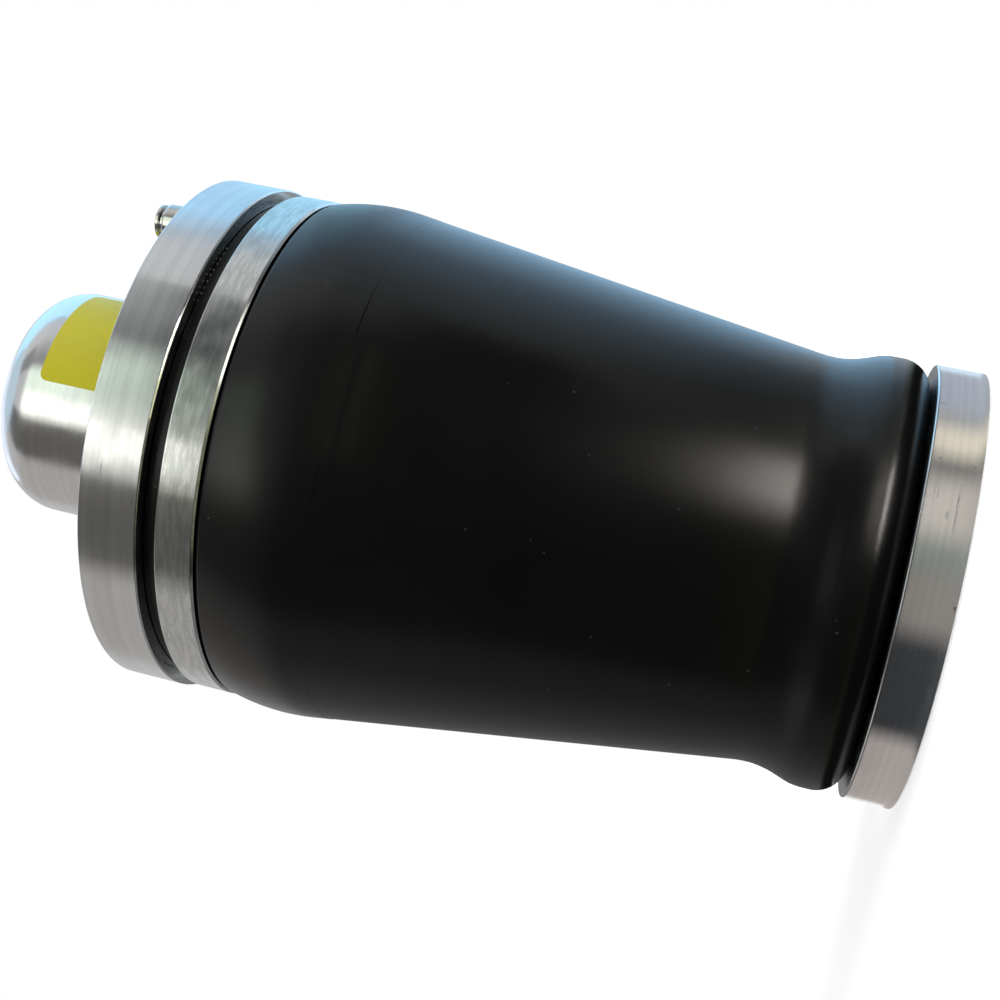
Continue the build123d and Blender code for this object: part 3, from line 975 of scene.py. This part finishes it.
@dataclass
class TopPlate:
    """The turned top plate, with its barbed neck, tapped holes and air port."""

    radius: float = 80.0
    bottom: float = 216.5
    top: float = 234.0
    edge: float = 0.35
    bevel: float = 0.4
    bore: float = 36.5
    shoulder: float = 226.0
    low_bore: float = 40.1
    seal_groove: Row = (38.85, 228.15, 230.65)
    ring_groove: Row = (41.7, 220.2, 222.0)
    neck_in: float = 60.0
    neck_out: float = 72.3
    neck_end: float = 197.5
    barb_low: float = 200.0
    barb_pitch: float = 2.875
    barb_depth: float = 0.7
    barbs: int = 4
    stud_circle: float = 60.0
    stud_major: float = 4.0
    stud_core: float = 3.4
    stud_pitch: float = 1.25
    stud_depth: float = 12.0
    stud_mouth: float = 0.6
    stud_tip: float = 2.0
    thread_clear: tuple[float, float] = (0.8, 0.3)
    studs: int = 4
    port_at: float = 67.0
    port_steps: tuple[Row, ...] = (
        (0, 236.0), (8.6, 236.0), (8.6, 233.5), (6.4, 233.5), (6.4, 232.1), (5.0, 232.1),
        (5.0, 224.5), (2.0, 224.5), (2.0, 190.0), (0, 190.0),
    )

    def outline(self) -> list[Row]:
        """Give the half outline of the plate and its neck.

        Returns:
            The rows, from the bore's upper edge downwards and out.
        """
        groove_r, groove_low, groove_high = self.seal_groove
        ring_r, ring_low, ring_high = self.ring_groove
        rows = [
            (self.bore, self.top, 0.3), (self.bore, groove_high), (groove_r, groove_high),
            (groove_r, groove_low), (self.bore, groove_low), (self.bore, self.shoulder, 0.2),
            (self.low_bore, self.shoulder), (self.low_bore, ring_high), (ring_r, ring_high),
            (ring_r, ring_low), (self.low_bore, ring_low), (self.low_bore, self.bottom, 0.4),
            (self.neck_in, self.bottom, 0.5), (self.neck_in, self.neck_end, 0.8),
            (self.neck_out, self.neck_end, 0.8),
        ]
        root = self.neck_out - self.barb_depth
        for barb in range(self.barbs):
            middle = self.barb_low + self.barb_pitch * (barb + 0.5)
            low = middle - self.barb_pitch / 4
            high = middle + self.barb_pitch / 4
            rows += [(self.neck_out, low), (root, low), (root, high), (self.neck_out, high)]
        rows += [
            (self.neck_out, self.bottom), (self.radius - self.bevel, self.bottom, 0.1),
            (self.radius, self.bottom + self.bevel, 0.15), (self.radius, self.top, self.edge),
        ]
        return rows

    def stud_tool(self) -> BMesh:
        """Shape the drill and countersink of the tapped holes.

        Returns:
            The tools at all the holes.
        """
        floor = self.top - self.stud_depth
        rows = (
            (0, self.top + CLEAR), (self.stud_major + self.stud_mouth + CLEAR, self.top + CLEAR),
            (self.stud_major, self.top - self.stud_mouth), (self.stud_major, floor),
            (0, floor - self.stud_tip),
        )
        return hole_tools(rows, 48, self.stud_circle, self.studs)

    def threads(self) -> BMesh:
        """Wind the threads of the tapped holes.

        Returns:
            The coils at all the holes.
        """
        above_floor, below_face = self.thread_clear
        coil = thread_coil(
            self.stud_core, self.stud_major + COIL_SINK, self.stud_pitch,
            self.top - self.stud_depth + above_floor, self.top - below_face,
        )
        return spread_round(shift(coil, x=self.stud_circle), self.studs)

    def build(self) -> None:
        """Build the plate and its threads, and dress them."""
        plate = make_piece(Turning(self.outline(), steps=LARGE_ROUND).shape(), "top_flange")
        carve(plate, [self.stud_tool(), hole_tools(self.port_steps, 72, self.port_at)])
        dress(plate, PLATE_METAL, Body.TOP, ["top_plate"])
        dress(make_piece(self.threads(), "top_threads"), PLATE_METAL, Body.TOP)


@dataclass
class TopCap:
    """The deep domed cap let into the top plate, with its bare yellow label."""

    radius: float = 36.0
    land: float = 36.4
    flange: float = 40.0
    top: float = 290.5
    plate_top: float = 234.0
    shoulder: float = 226.0
    flange_bottom: float = 222.0
    corner: float = 14.0
    wall: float = 3.5
    boss: float = 11.0
    boss_face: float = 279.0
    screw_hole: float = 4.1
    screw_end: float = 288.17
    label_gap: float = 0.02
    label_low: float = 240.0
    label_high: float = 274.4
    label_facings: tuple[float, float] = (7.0, 74.0)
    label_corner: float = 2.4
    label_thickness: float = 0.1

    def outline(self) -> list[Row]:
        """Give the half outline of the cap.

        Returns:
            The rows, from the outer pole round the flange to the inner pole.
        """
        inside = self.radius - self.wall
        ceiling = self.top - self.wall
        return [
            (0, self.top), (self.radius, self.top, self.corner, 20), (self.radius, self.plate_top),
            (self.land, self.plate_top), (self.land, self.shoulder), (self.flange, self.shoulder, 0.3),
            (self.flange, self.flange_bottom, 0.3), (inside, self.flange_bottom, 0.3),
            (inside, ceiling, self.corner - self.wall, 14), (self.boss, ceiling, 1.0),
            (self.boss, self.boss_face, 0.5), (self.screw_hole, self.boss_face),
            (self.screw_hole, self.screw_end), (0, self.screw_end),
        ]

    def build(self) -> None:
        """Build the cap and its label, and dress them."""
        cap = make_piece(Turning(self.outline(), closed=False).shape(), "domed_cap")
        dress(cap, CAP_METAL, Body.TOP, ["top_cap"])
        film = wrapped_film(
            self.radius + self.label_gap, self.label_low, self.label_high, self.label_facings,
            self.label_corner, self.label_thickness,
        )
        dress(make_piece(film, "cap_label"), LABEL_FILM, Body.TOP)


@dataclass
class CrimpBand:
    """The swaged ring that clamps the sleeve on the neck."""

    inner: float = 75.5
    outer: float = 79.0
    low: float = 200.0
    high: float = 211.5
    edge: float = 0.5
    bevel: float = 0.6

    def build(self) -> None:
        """Build the ring and dress it."""
        rows = (
            (self.inner, self.low, 0.3), (self.outer - self.bevel, self.low, 0.1),
            (self.outer, self.low + self.bevel, 0.15), (self.outer, self.high, self.edge),
            (self.inner, self.high, 0.3),
        )
        ring = make_piece(Turning(rows, steps=LARGE_ROUND).shape(), "crimp_band")
        dress(ring, BAND_METAL, Body.TOP, ["upper_crimp_ring"])


@dataclass
class Sleeve:
    """The rolling rubber sleeve, in three pieces that meet edge to edge."""

    wall: float = 3.0
    seat: float = 75.4
    top: float = 216.2
    exit_height: float = 199.8
    exit_radius: float = 78.6
    exit_drop: float = 0.2
    shoulder: Row = (81.75, 185.0, 64.0)
    waist: Row = (60.84, 40.5, 26.0)
    flare: Row = (65.0, 28.9, 16.0)
    seam: float = 25.8
    ply_height: float = 168.0
    ply_step: float = 0.15
    ply_slope: float = 0.45
    lobe: Row = (56.15, 23.65, 8.85)
    lobe_slack: float = 0.001
    tuck_radius: float = 47.3
    skirt_top: float = 115.5
    tuck_end_radius: float = 44.1
    neck_bottom: float = 121.5
    tuck_end: float = 136.7
    tuck_fillet: float = 4.6
    tuck_hold: float = 130.0
    spacing: float = 3.0
    cords: int = 10
    cord_seed: int = 7
    cord_radius: float = 0.22
    cord_length: float = 0.7
    cord_out: float = 0.1
    cord_drop: float = 0.28
    cord_spacing: float = 1.75
    # Facing where the stretch of cord ends starts: they are set only where light falls on the edge, as
    # painted light.
    cord_start: float = 27.5

    def wall_outline(self) -> list[Row]:
        """Give the outer line of the wall, from the top seat down to the seam.

        Returns:
            The rows of the open line.
        """
        high_r, high_z, _ = self.shoulder
        low_r, low_z, _ = self.waist
        ply_radius = high_r - (high_z - self.ply_height) * (high_r - low_r) / (high_z - low_z)
        half = self.ply_step / 2
        return [
            (self.seat, self.top), (self.seat, self.exit_height, 0.8, 3),
            (self.exit_radius, self.exit_height - self.exit_drop, 2.0, 6), (*self.shoulder, 28),
            (ply_radius + half, self.ply_height + self.ply_slope / 2, 0.4, 3),
            (ply_radius - half, self.ply_height - self.ply_slope / 2, 0.4, 3),
            (*self.waist, 16), (*self.flare, 14), (self.flare[0], self.seam),
        ]

    def lobe_outline(self) -> list[Row]:
        """Give the outer line of the lobe, from the seam down and up to the piston.

        Returns:
            The rows of the open line.
        """
        centre, height, radius = self.lobe
        low = height - radius
        rounding = radius - self.lobe_slack
        return [
            (centre + radius, self.seam), (centre + radius, low, rounding, 20),
            (centre - radius, low, rounding, 20), (centre - radius, self.seam),
        ]

    def tuck_outline(self) -> list[Row]:
        """Give the line that lies along the piston, from the seam up to the lower seat.

        Returns:
            The rows of the open line.
        """
        return [
            (self.tuck_radius, self.seam), (self.tuck_radius, self.skirt_top, self.tuck_fillet, 5),
            (self.tuck_end_radius, self.neck_bottom, self.tuck_fillet, 5),
            (self.tuck_end_radius, self.tuck_end),
        ]

    def thicken(self, rows: list[Row], name: str, outwards: bool = True) -> Piece:
        """Spin an outer line and give it the wall's thickness towards the air side.

        Args:
            rows: The rows of the line.
            name: Name of the piece.
            outwards: Whether the line's outer side looks away from the axis.

        Returns:
            The piece, with each vertex's height at rest kept as an attribute.
        """
        shape = Turning(rows, closed=False, steps=LARGE_ROUND, spacing=self.spacing).shape()
        face_out(shape, outwards)
        bmesh.ops.solidify(shape, geom=shape.faces[:], thickness=self.wall * MM)
        piece = make_piece(shape, name)
        kept = piece.data.attributes.new(REST_HEIGHT, "FLOAT", "POINT")
        kept.data.foreach_set("value", [vert.co.z for vert in piece.data.vertices])
        return piece

    def lit_cord_ends(self) -> BMesh:
        """Set pale cut ends of the reinforcing cords only along the stretch of the sleeve's upper edge
        where light falls: real cords, placed there as painted light.

        Returns:
            The ends as short stubs, a little uneven.
        """
        draw = random.Random(self.cord_seed)
        lay_out = Matrix.Rotation(math.radians(90), 4, "Y")
        shape = bmesh.new()
        for index in range(self.cords):
            size = self.cord_radius * draw.uniform(0.8, 1.1)
            made = bmesh.ops.create_cone(
                shape, cap_ends=True, segments=8, radius1=size * MM, radius2=size * 0.7 * MM,
                depth=self.cord_length * MM,
            )
            reach = (self.seat + self.cord_out + draw.uniform(-0.05, 0.1)) * MM
            height = (self.top - self.cord_drop + draw.uniform(-0.05, 0.05)) * MM
            turn = facing_turn(self.cord_start + self.cord_spacing * (index + draw.uniform(-0.1, 0.1)))
            place = Matrix.Rotation(turn, 4, "Z") @ Matrix.Translation((reach, 0, height)) @ lay_out
            bmesh.ops.transform(shape, matrix=place, verts=made["verts"])
        return shape

    def build(self) -> None:
        """Build the three parts of the sleeve and its cord ends, and dress them."""
        wall = self.thicken(self.wall_outline(), "sleeve_wall")
        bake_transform(wall)
        lobe = self.thicken(self.lobe_outline(), "sleeve_lobe")
        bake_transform(lobe)
        tuck = self.thicken(self.tuck_outline(), "sleeve_tuck", outwards=False)
        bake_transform(tuck)
        for piece in (wall, lobe, tuck):
            dress(piece, SLEEVE_RUBBER, None, ["sleeve"])
        dress(make_piece(self.lit_cord_ends(), "lit_cord_ends"), LIT_CORD_END, Body.TOP)


@dataclass
class FootDisc:
    """The turned disc that the spring stands on."""

    radius: float = 65.0
    thickness: float = 14.5
    edge: float = 0.7
    spigot: float = 42.4
    spigot_top: float = 20.5
    thread_major: float = 6.0
    thread_core: float = 5.1
    thread_pitch: float = 1.75
    thread_clear: float = 0.6
    mouth: float = 0.9
    locator: float = 4.0
    locator_at: float = 46.0
    locator_depth: float = 8.0
    locator_mouth: float = 0.4
    screw_circle: float = 36.0
    screw_hole: float = 4.1
    sink: float = 7.7
    sink_depth: float = 4.29
    screws: int = 4

    def outline(self) -> list[Row]:
        """Give the half outline of the disc.

        Returns:
            The rows, from the thread's lower mouth outwards and up.
        """
        wide = self.thread_major + self.mouth
        return [
            (wide, 0), (self.radius, 0, self.edge), (self.radius, self.thickness, self.edge),
            (self.spigot, self.thickness, 0.4), (self.spigot, self.spigot_top, 0.7),
            (wide, self.spigot_top), (self.thread_major, self.spigot_top - self.mouth),
            (self.thread_major, self.mouth),
        ]

    def screw_tool(self) -> BMesh:
        """Shape the countersinks and clearance holes for the piston's screws.

        Returns:
            The tools at all the holes.
        """
        flare = self.sink + (self.sink - self.screw_hole) / self.sink_depth * CLEAR
        rows = (
            (0, -CLEAR), (flare, -CLEAR), (self.screw_hole, self.sink_depth),
            (self.screw_hole, self.spigot_top + CLEAR), (0, self.spigot_top + CLEAR),
        )
        return hole_tools(rows, 64, self.screw_circle, self.screws)

    def locator_tool(self) -> BMesh:
        """Shape the blind hole of the locating pin.

        Returns:
            The tool at the hole.
        """
        rows = (
            (0, -CLEAR), (self.locator + self.locator_mouth + CLEAR, -CLEAR),
            (self.locator, self.locator_mouth), (self.locator, self.locator_depth),
            (0, self.locator_depth),
        )
        return hole_tools(rows, 64, -self.locator_at)

    def build(self) -> None:
        """Build the disc and its thread, and dress them."""
        disc = make_piece(Turning(self.outline(), steps=LARGE_ROUND).shape(), "foot_disc")
        carve(disc, [self.screw_tool(), self.locator_tool()])
        dress(disc, FOOT_METAL, Body.BASE, ["base_plate"])
        coil = thread_coil(
            self.thread_core, self.thread_major + COIL_SINK, self.thread_pitch, self.thread_clear,
            self.spigot_top - self.thread_clear,
        )
        dress(make_piece(coil, "foot_thread"), FOOT_METAL, Body.BASE)


@dataclass
class AirFitting:
    """The push-in fitting: a hexagon with a round socket, and the collar that is pressed in."""

    at: float = 67.0
    face: float = 233.5
    across: float = 14.0
    hex_height: float = 5.1
    hex_edge: float = 0.35
    hex_blank: float = 0.2
    hex_low_chamfer: tuple[float, float] = (0.7, 0.45)
    hex_high_chamfer: tuple[float, float] = (0.75, 0.55)
    prism_length: float = 30.0
    overlap: float = 0.4
    barrel: float = 5.6
    height: float = 12.8
    stem: float = 4.9
    stem_depth: float = 8.9
    mouth: float = 4.36
    ring_seat: Row = (5.0, 7.7, 8.2)
    seal_seat: tuple[float, float] = (4.65, 6.1)
    tube: tuple[float, float] = (3.1, 1.1)
    bore: float = 2.0
    collar_steps: tuple[Row, ...] = (
        (3.1, 9.2), (4.3, 9.2, 0.2), (4.3, 13.8), (5.1, 13.8, 0.25), (5.1, 15.0, 0.3),
        (3.1, 15.0, 0.4),
    )

    def barrel_outline(self) -> list[Row]:
        """Give the half outline of the stem, barrel and socket, from the spot face.

        Returns:
            The rows of the closed line.
        """
        ring_r, ring_low, ring_high = self.ring_seat
        seal_r, seal_low = self.seal_seat
        tube_r, tube_low = self.tube
        return [
            (self.bore, -self.stem_depth), (self.stem, -self.stem_depth, 0.4), (self.stem, 0),
            (self.barrel, 0.2), (self.barrel, self.height, 0.9), (self.mouth, self.height, 0.15),
            (self.mouth, ring_high), (ring_r, ring_high), (ring_r, ring_low), (seal_r, ring_low),
            (seal_r, seal_low), (tube_r, seal_low), (tube_r, tube_low), (self.bore, tube_low),
        ]

    def hexagon(self) -> BMesh:
        """Shape the hexagon with its turned chamfers.

        Returns:
            The hexagon, still at the spring's axis.
        """
        corner_r = self.across / 2 / math.cos(math.radians(30))
        wide = corner_r + self.hex_blank
        low_in, low_up = self.hex_low_chamfer
        high_in, high_down = self.hex_high_chamfer
        blank = (
            (self.stem - self.overlap, 0), (corner_r - low_in, 0), (wide, low_up),
            (wide, self.hex_height - high_down), (corner_r - high_in, self.hex_height),
            (self.stem - self.overlap, self.hex_height),
        )
        piece = make_piece(Turning(blank, steps=SMALL_ROUND).shape(), "hexagon")
        prism = bmesh.new()
        bmesh.ops.create_cone(
            prism, cap_ends=True, segments=6, radius1=corner_r * MM, radius2=corner_r * MM,
            depth=self.prism_length * MM,
        )
        upright = [edge for edge in prism.edges if abs(edge.verts[0].co.z - edge.verts[1].co.z) > MM]
        bmesh.ops.bevel(
            prism, geom=upright, offset=self.hex_edge * MM, offset_type="OFFSET", segments=2,
            profile=0.5, affect="EDGES", material=-1,
        )
        carve(piece, [prism], "INTERSECT")
        shape = bmesh.new()
        shape.from_mesh(piece.data)
        bpy.data.objects.remove(piece)
        return shape

    def build(self) -> None:
        """Build the fitting and its collar, and dress them."""
        hexagon = self.hexagon()
        shell = make_piece(Turning(self.barrel_outline(), steps=SMALL_ROUND).shape(), "fitting_shell")
        carve(shell, [hexagon], "UNION")
        shell.data.transform(Matrix.Translation((self.at * MM, 0, self.face * MM)))
        dress(shell, NICKEL_BRASS, Body.TOP, ["fitting_body"])
        collar = shift(Turning(self.collar_steps, steps=SMALL_ROUND).shape(), x=self.at, z=self.face)
        piece = make_piece(collar, "press_collar")
        dress(piece, NICKEL_BRASS, Body.COLLAR, ["release_collar"])


@dataclass
class InnerParts:
    """The frame's own nodes that stay as they are and take a finish."""

    finishes: dict[str, Finish] = field(default_factory=lambda: {
        "piston": PISTON_PLASTIC,
        "piston_screws": ZINC_STEEL,
        "strike_plate": STRIKE_PLASTIC,
        "strike_screw": ZINC_STEEL,
        "lower_crimp_ring": BAND_METAL,
        "cap_seal": SEAL_RUBBER,
        "cap_retaining_ring": SPRING_STEEL,
        "bumper_seat": ZINC_STEEL,
        "jounce_bumper": BUMPER_FOAM,
        "bumper_washer": ZINC_STEEL,
        "bumper_screw": ZINC_STEEL,
        "fitting_seal": SEAL_RUBBER,
        "tube_seal": SEAL_RUBBER,
        "grab_ring": SPRING_STEEL,
    })

    def build(self) -> None:
        """Give each node its finish."""
        for name, finish in self.finishes.items():
            paint(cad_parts[name], finish.material())
            log.info("%s keeps its shape", name)


# Studio


@dataclass(frozen=True)
class PhotoCamera:
    """The camera at the photograph's viewing angle, rolled so that the spring lies on its side."""

    lens: float = 53.852
    sensor: float = 36.0
    clip: tuple[float, float] = (0.01, 20.0)
    place: Colour = (0.21112, -0.40557, 0.04738)
    right: Colour = (0.10733, 0.25988, -0.95966)
    up: Colour = (0.88325, 0.41822, 0.21204)
    back: Colour = (0.45645, -0.87039, -0.18465)

    def build(self) -> None:
        """Make the camera and look through it."""
        data = bpy.data.cameras.new("camera")
        data.lens = self.lens
        data.sensor_width = self.sensor
        data.clip_start, data.clip_end = self.clip
        camera = bpy.data.objects.new("camera", data)
        axes = Matrix((self.right, self.up, self.back)).transposed()
        camera.matrix_world = Matrix.Translation(self.place) @ axes.to_4x4()
        bpy.context.scene.collection.objects.link(camera)
        bpy.context.scene.camera = camera


@dataclass(frozen=True)
class Lamp:
    """A square soft lamp: facing and rise in degrees, size and distance in metres."""

    name: str
    facing: float
    rise: float
    distance: float
    energy: float
    size: float = 1.0

    def build(self) -> None:
        """Make the lamp and aim it at the middle of the spring."""
        data = bpy.data.lights.new(self.name, "AREA")
        data.shape = "SQUARE"
        data.size = self.size
        data.energy = self.energy
        turn = facing_turn(self.facing)
        rise = math.radians(self.rise)
        out = Vector((math.cos(turn) * math.cos(rise), math.sin(turn) * math.cos(rise), math.sin(rise)))
        lamp = bpy.data.objects.new(self.name, data)
        lamp.location = Vector(LAMP_AIM) + out * self.distance
        lamp.rotation_euler = out.to_track_quat("Z", "Y").to_euler()
        lamp.visible_glossy = False
        bpy.context.scene.collection.objects.link(lamp)


@dataclass(frozen=True)
class Card:
    """A bent card that shows only in reflections.

    Each band starts at a facing in degrees and has its own colour, and the last one ends at the
    end facing. Low, high and distance are metres.
    """

    name: str
    low: float
    high: float
    distance: float
    bands: Bands
    end: float = 170.0
    blend: float = 3.0

    def edge(self) -> tuple[Row, Row]:
        """Give radius and height of the ends of the edge that is spun."""
        return (self.distance, self.low), (self.distance, self.high)

    def colour_at(self, facing: float) -> Colour:
        """Give the card's colour at a facing.

        Args:
            facing: The facing in degrees.

        Returns:
            The colour of the band there, mixed with the one before it near its start.
        """
        first, colour = self.bands[0]
        for start, band in self.bands:
            if facing < start - self.blend / 2:
                break
            share = min(1.0, (facing - start) / self.blend + 0.5) if start > first else 1.0
            colour = tuple(old + (new - old) * share for old, new in zip(colour, band))
        return colour

    def build(self) -> None:
        """Make the card, hold its colours at its vertices and show it in reflections only."""
        start = self.bands[0][0]
        sweep = self.end - start
        turn = facing_turn(start)
        shape = bmesh.new()
        near, far = (
            shape.verts.new((radius * math.cos(turn), radius * math.sin(turn), height))
            for radius, height in self.edge()
        )
        shape.edges.new((near, far))
        sweep_round(shape, math.radians(sweep), round(sweep))
        card = make_piece(shape, self.name)
        shades = card.data.attributes.new("shade", "FLOAT_COLOR", "POINT")
        for vert, shade in zip(card.data.vertices, shades.data):
            facing = math.degrees(math.atan2(vert.co.y, vert.co.x)) - CAMERA_TURN
            facing = start + (facing - start + CARD_SLACK) % 360 - CARD_SLACK
            shade.color = (*self.colour_at(facing), 1.0)
        material, bench, glow = blank_material(self.name, "Emission")
        bench.fill(glow, Color=bench.node("Attribute", attribute_name="shade").outputs["Color"])
        paint(card, material)
        for ray in ("camera", "diffuse", "shadow", "volume_scatter"):
            setattr(card, f"visible_{ray}", False)


@dataclass(frozen=True)
class FlatCard(Card):
    """A flat card: low and high are its inner and outer radius, and distance is its height."""

    def edge(self) -> tuple[Row, Row]:
        """Give radius and height of the ends of the edge that is spun."""
        return (self.low, self.distance), (self.high, self.distance)


def grey(level: float) -> Colour:
    """Give a neutral colour."""
    return level, level, level


LAMP_AIM = (0.0, 0.0, 0.13)
CARD_SLACK = 0.1  # degrees that a card's first vertices may lie before its start
DARK = grey(0.012)
GLOW = (42.0, 39.8, 37.0)
LOW_BANDS = (
    (-190, grey(0.24)), (-102, grey(0.18)), (-70, grey(0.03)), (-5, grey(0.10)),
    (57, (0.52, 0.54, 0.55)), (88, (0.58, 0.80, 0.98)), (114, (0.70, 1.15, 1.60)), (160, grey(0.24)),
)
FLOOR_BANDS = (
    (-190, grey(0.24)), (-102, grey(0.18)), (-72, DARK), (56, grey(0.14)),
    (88, (0.30, 0.33, 0.36)), (114, (0.66, 0.74, 0.80)), (160, grey(0.24)),
)
HIGH_BANDS = (
    (-190, grey(0.58)), (-130, (0.48, 0.46, 0.44)), (-69, (0.135, 0.13, 0.12)),
    (-38, (0.165, 0.158, 0.145)), (-24, (1.90, 1.90, 1.74)), (0, (1.20, 1.36, 1.16)),
    (26, grey(0.33)), (41, grey(0.54)), (55, grey(0.70)), (84, (0.52, 0.62, 0.72)),
    (97, (0.49, 0.76, 1.04)), (160, grey(0.58)),
)
TOP_BANDS = (
    (-190, (1.10, 1.20, 1.40)), (-125, grey(0.55)), (-75, grey(0.14)), (-26, grey(0.60)),
    (26, grey(0.30)), (55, grey(0.70)),
)
RIM_BANDS = (
    (-190, (1.10, 1.08, 1.07)), (-94, (0.50, 0.45, 0.42)), (-44, (0.045, 0.048, 0.052)),
    (-12, (0.32, 0.29, 0.265)), (4, (0.24, 0.265, 0.235)), (14, (0.46, 0.42, 0.37)),
    (31, (0.21, 0.205, 0.19)), (38, (0.95, 0.86, 0.69)), (49, grey(0.48)),
    (57, (0.49, 0.53, 0.60)), (89, (0.76, 0.93, 1.10)), (160, (1.10, 1.08, 1.07)),
)
BEVEL_BANDS = (
    (-100, (0.22, 0.23, 0.15)), (6, (0.35, 0.36, 0.22)), (24, (2.1, 2.1, 1.85)),
    (78, (0.32, 0.34, 0.24)), (96, (0.30, 0.36, 0.34)),
)
GLOW_BANDS = ((12, DARK), (21, GLOW), (45, DARK))
LOBE_BANDS = ((-10, DARK), (13, (40.0, 37.5, 35.0)), (41, DARK))

CARDS = (
    Card("high_cards", 0.36, 1.0, 0.80, HIGH_BANDS, blend=11.0),
    Card("low_cards", -0.05, 0.36, 0.80, LOW_BANDS, blend=6.0),
    Card("top_card", 1.0, 2.4, 0.80, TOP_BANDS),
    Card("sky_card", 0.60, 2.4, 0.79, ((91, (0.70, 1.20, 1.60)),), end=160),
    Card("sill_card", 0.36, 0.49, 0.78, ((-26, grey(0.30)),), end=55),
    Card("ledge_card", 0.46, 0.536, 0.77, ((-6, (0.045, 0.052, 0.048)),), end=58),
    Card("ring_sky", 0.44, 0.535, 0.77, ((100, (0.51, 0.93, 1.24)),), end=160),
    Card("lobe_flag", 0.095, 0.165, 0.20, ((-35, DARK),), end=60),
    Card("rim_cards", 0.0006, 0.0138, 0.074, RIM_BANDS, blend=7.0),
    FlatCard("rim_floor", 0.0652, 0.074, 0.0005, RIM_BANDS, blend=7.0),
    FlatCard("floor_cards", 0.075, 1.0, 0.0008, FLOOR_BANDS, blend=6.0),
    FlatCard("bevel_card", 0.135, 0.200, 0.0022, BEVEL_BANDS, end=150, blend=6.0),
    FlatCard("glow_card", 0.205, 0.230, 0.002, GLOW_BANDS, end=54, blend=10.0),
    Card("glow_flag", 0.0150, 0.0215, 0.12, ((-10, DARK),), end=70),
    Card("lobe_glint", 0.0075, 0.0112, 0.12, LOBE_BANDS, end=70, blend=10.0),
    FlatCard("foot_flag", 0.0655, 0.085, 0.0142, ((-190, DARK),)),
    FlatCard("edge_card", 0.0975, 0.112, 0.165, ((0, (1.0, 1.0, 0.6)),), end=30),
    FlatCard("ceiling_card", 0.0, 0.82, 2.4, ((-190, (0.62, 0.78, 0.90)),)),
)

LAMPS = (
    Lamp("key_lamp", 70, 50, 1.3, 9.0),
    Lamp("fill_lamp", -25, 25, 1.5, 5.0),
    Lamp("back_lamp", 190, 40, 1.5, 5.0),
)


@dataclass(frozen=True)
class Studio:
    """The pale floor and the soft surroundings."""

    floor_radius: float = 4.0
    floor_colour: Colour = (0.86, 0.86, 0.86)
    lift_reach: tuple[float, float] = (0.10, 1.2)
    least_lift: float = 0.45
    soft_light: float = 0.42

    def shown_rays(self, bench: Bench) -> Socket:
        """Give 1 for camera, glossy and transmission rays, and 0 for the rest.

        Args:
            bench: The bench of the tree that asks.

        Returns:
            The share.
        """
        path = bench.node("LightPath").outputs
        seen = bench.math("MAXIMUM", path["Is Camera Ray"], path["Is Glossy Ray"])
        return bench.math("MAXIMUM", seen, path["Is Transmission Ray"])

    def build_world(self) -> None:
        """Make surroundings that show white and light the spring softly."""
        world = bpy.data.worlds.new("studio")
        world.use_nodes = True
        bench = Bench(world.node_tree)
        strength = bench.remap(self.shown_rays(bench), 0.0, 1.0, self.soft_light, 1.0, smooth=False)
        bench.fill(world.node_tree.nodes["Background"], Color=(*WHITE, 1.0), Strength=strength)
        bpy.context.scene.world = world

    def build_floor(self) -> None:
        """Make a floor that shows white and still takes the spring's shadow."""
        shape = bmesh.new()
        bmesh.ops.create_circle(
            shape, cap_ends=True, segments=SMALL_ROUND, radius=self.floor_radius
        )
        floor = make_piece(shape, "floor")
        material, bench, both = blank_material("floor", "AddShader")
        x, y, _ = bench.split(bench.node("TexCoord").outputs["Object"])
        lift = bench.remap(bench.length(x, y), *self.lift_reach, self.least_lift, 1.0)
        strength = bench.math("MULTIPLY", lift, self.shown_rays(bench))
        matt = bench.fill(bench.node("BsdfDiffuse"), Color=(*self.floor_colour, 1.0))[0]
        glow = bench.fill(bench.node("Emission"), Strength=strength)[0]
        for socket, part in zip(both.inputs, (matt, glow)):
            bench.feed(socket, part)
        paint(floor, material)

    def build(self) -> None:
        """Make the surroundings, floor, lamps, cards and plain colours."""
        self.build_world()
        self.build_floor()
        for part in (*LAMPS, *CARDS):
            part.build()
        bpy.context.scene.view_settings.view_transform = "Standard"


def main() -> None:
    """Build the camera, the studio and every sub-assembly in order."""
    logging.basicConfig(level=logging.INFO, format="%(name)s %(message)s")
    PhotoCamera().build()
    Studio().build()
    for part in (TopPlate(), TopCap(), CrimpBand(), Sleeve(), FootDisc(), AirFitting(), InnerParts()):
        part.build()


if __name__ == "__main__":
    main()
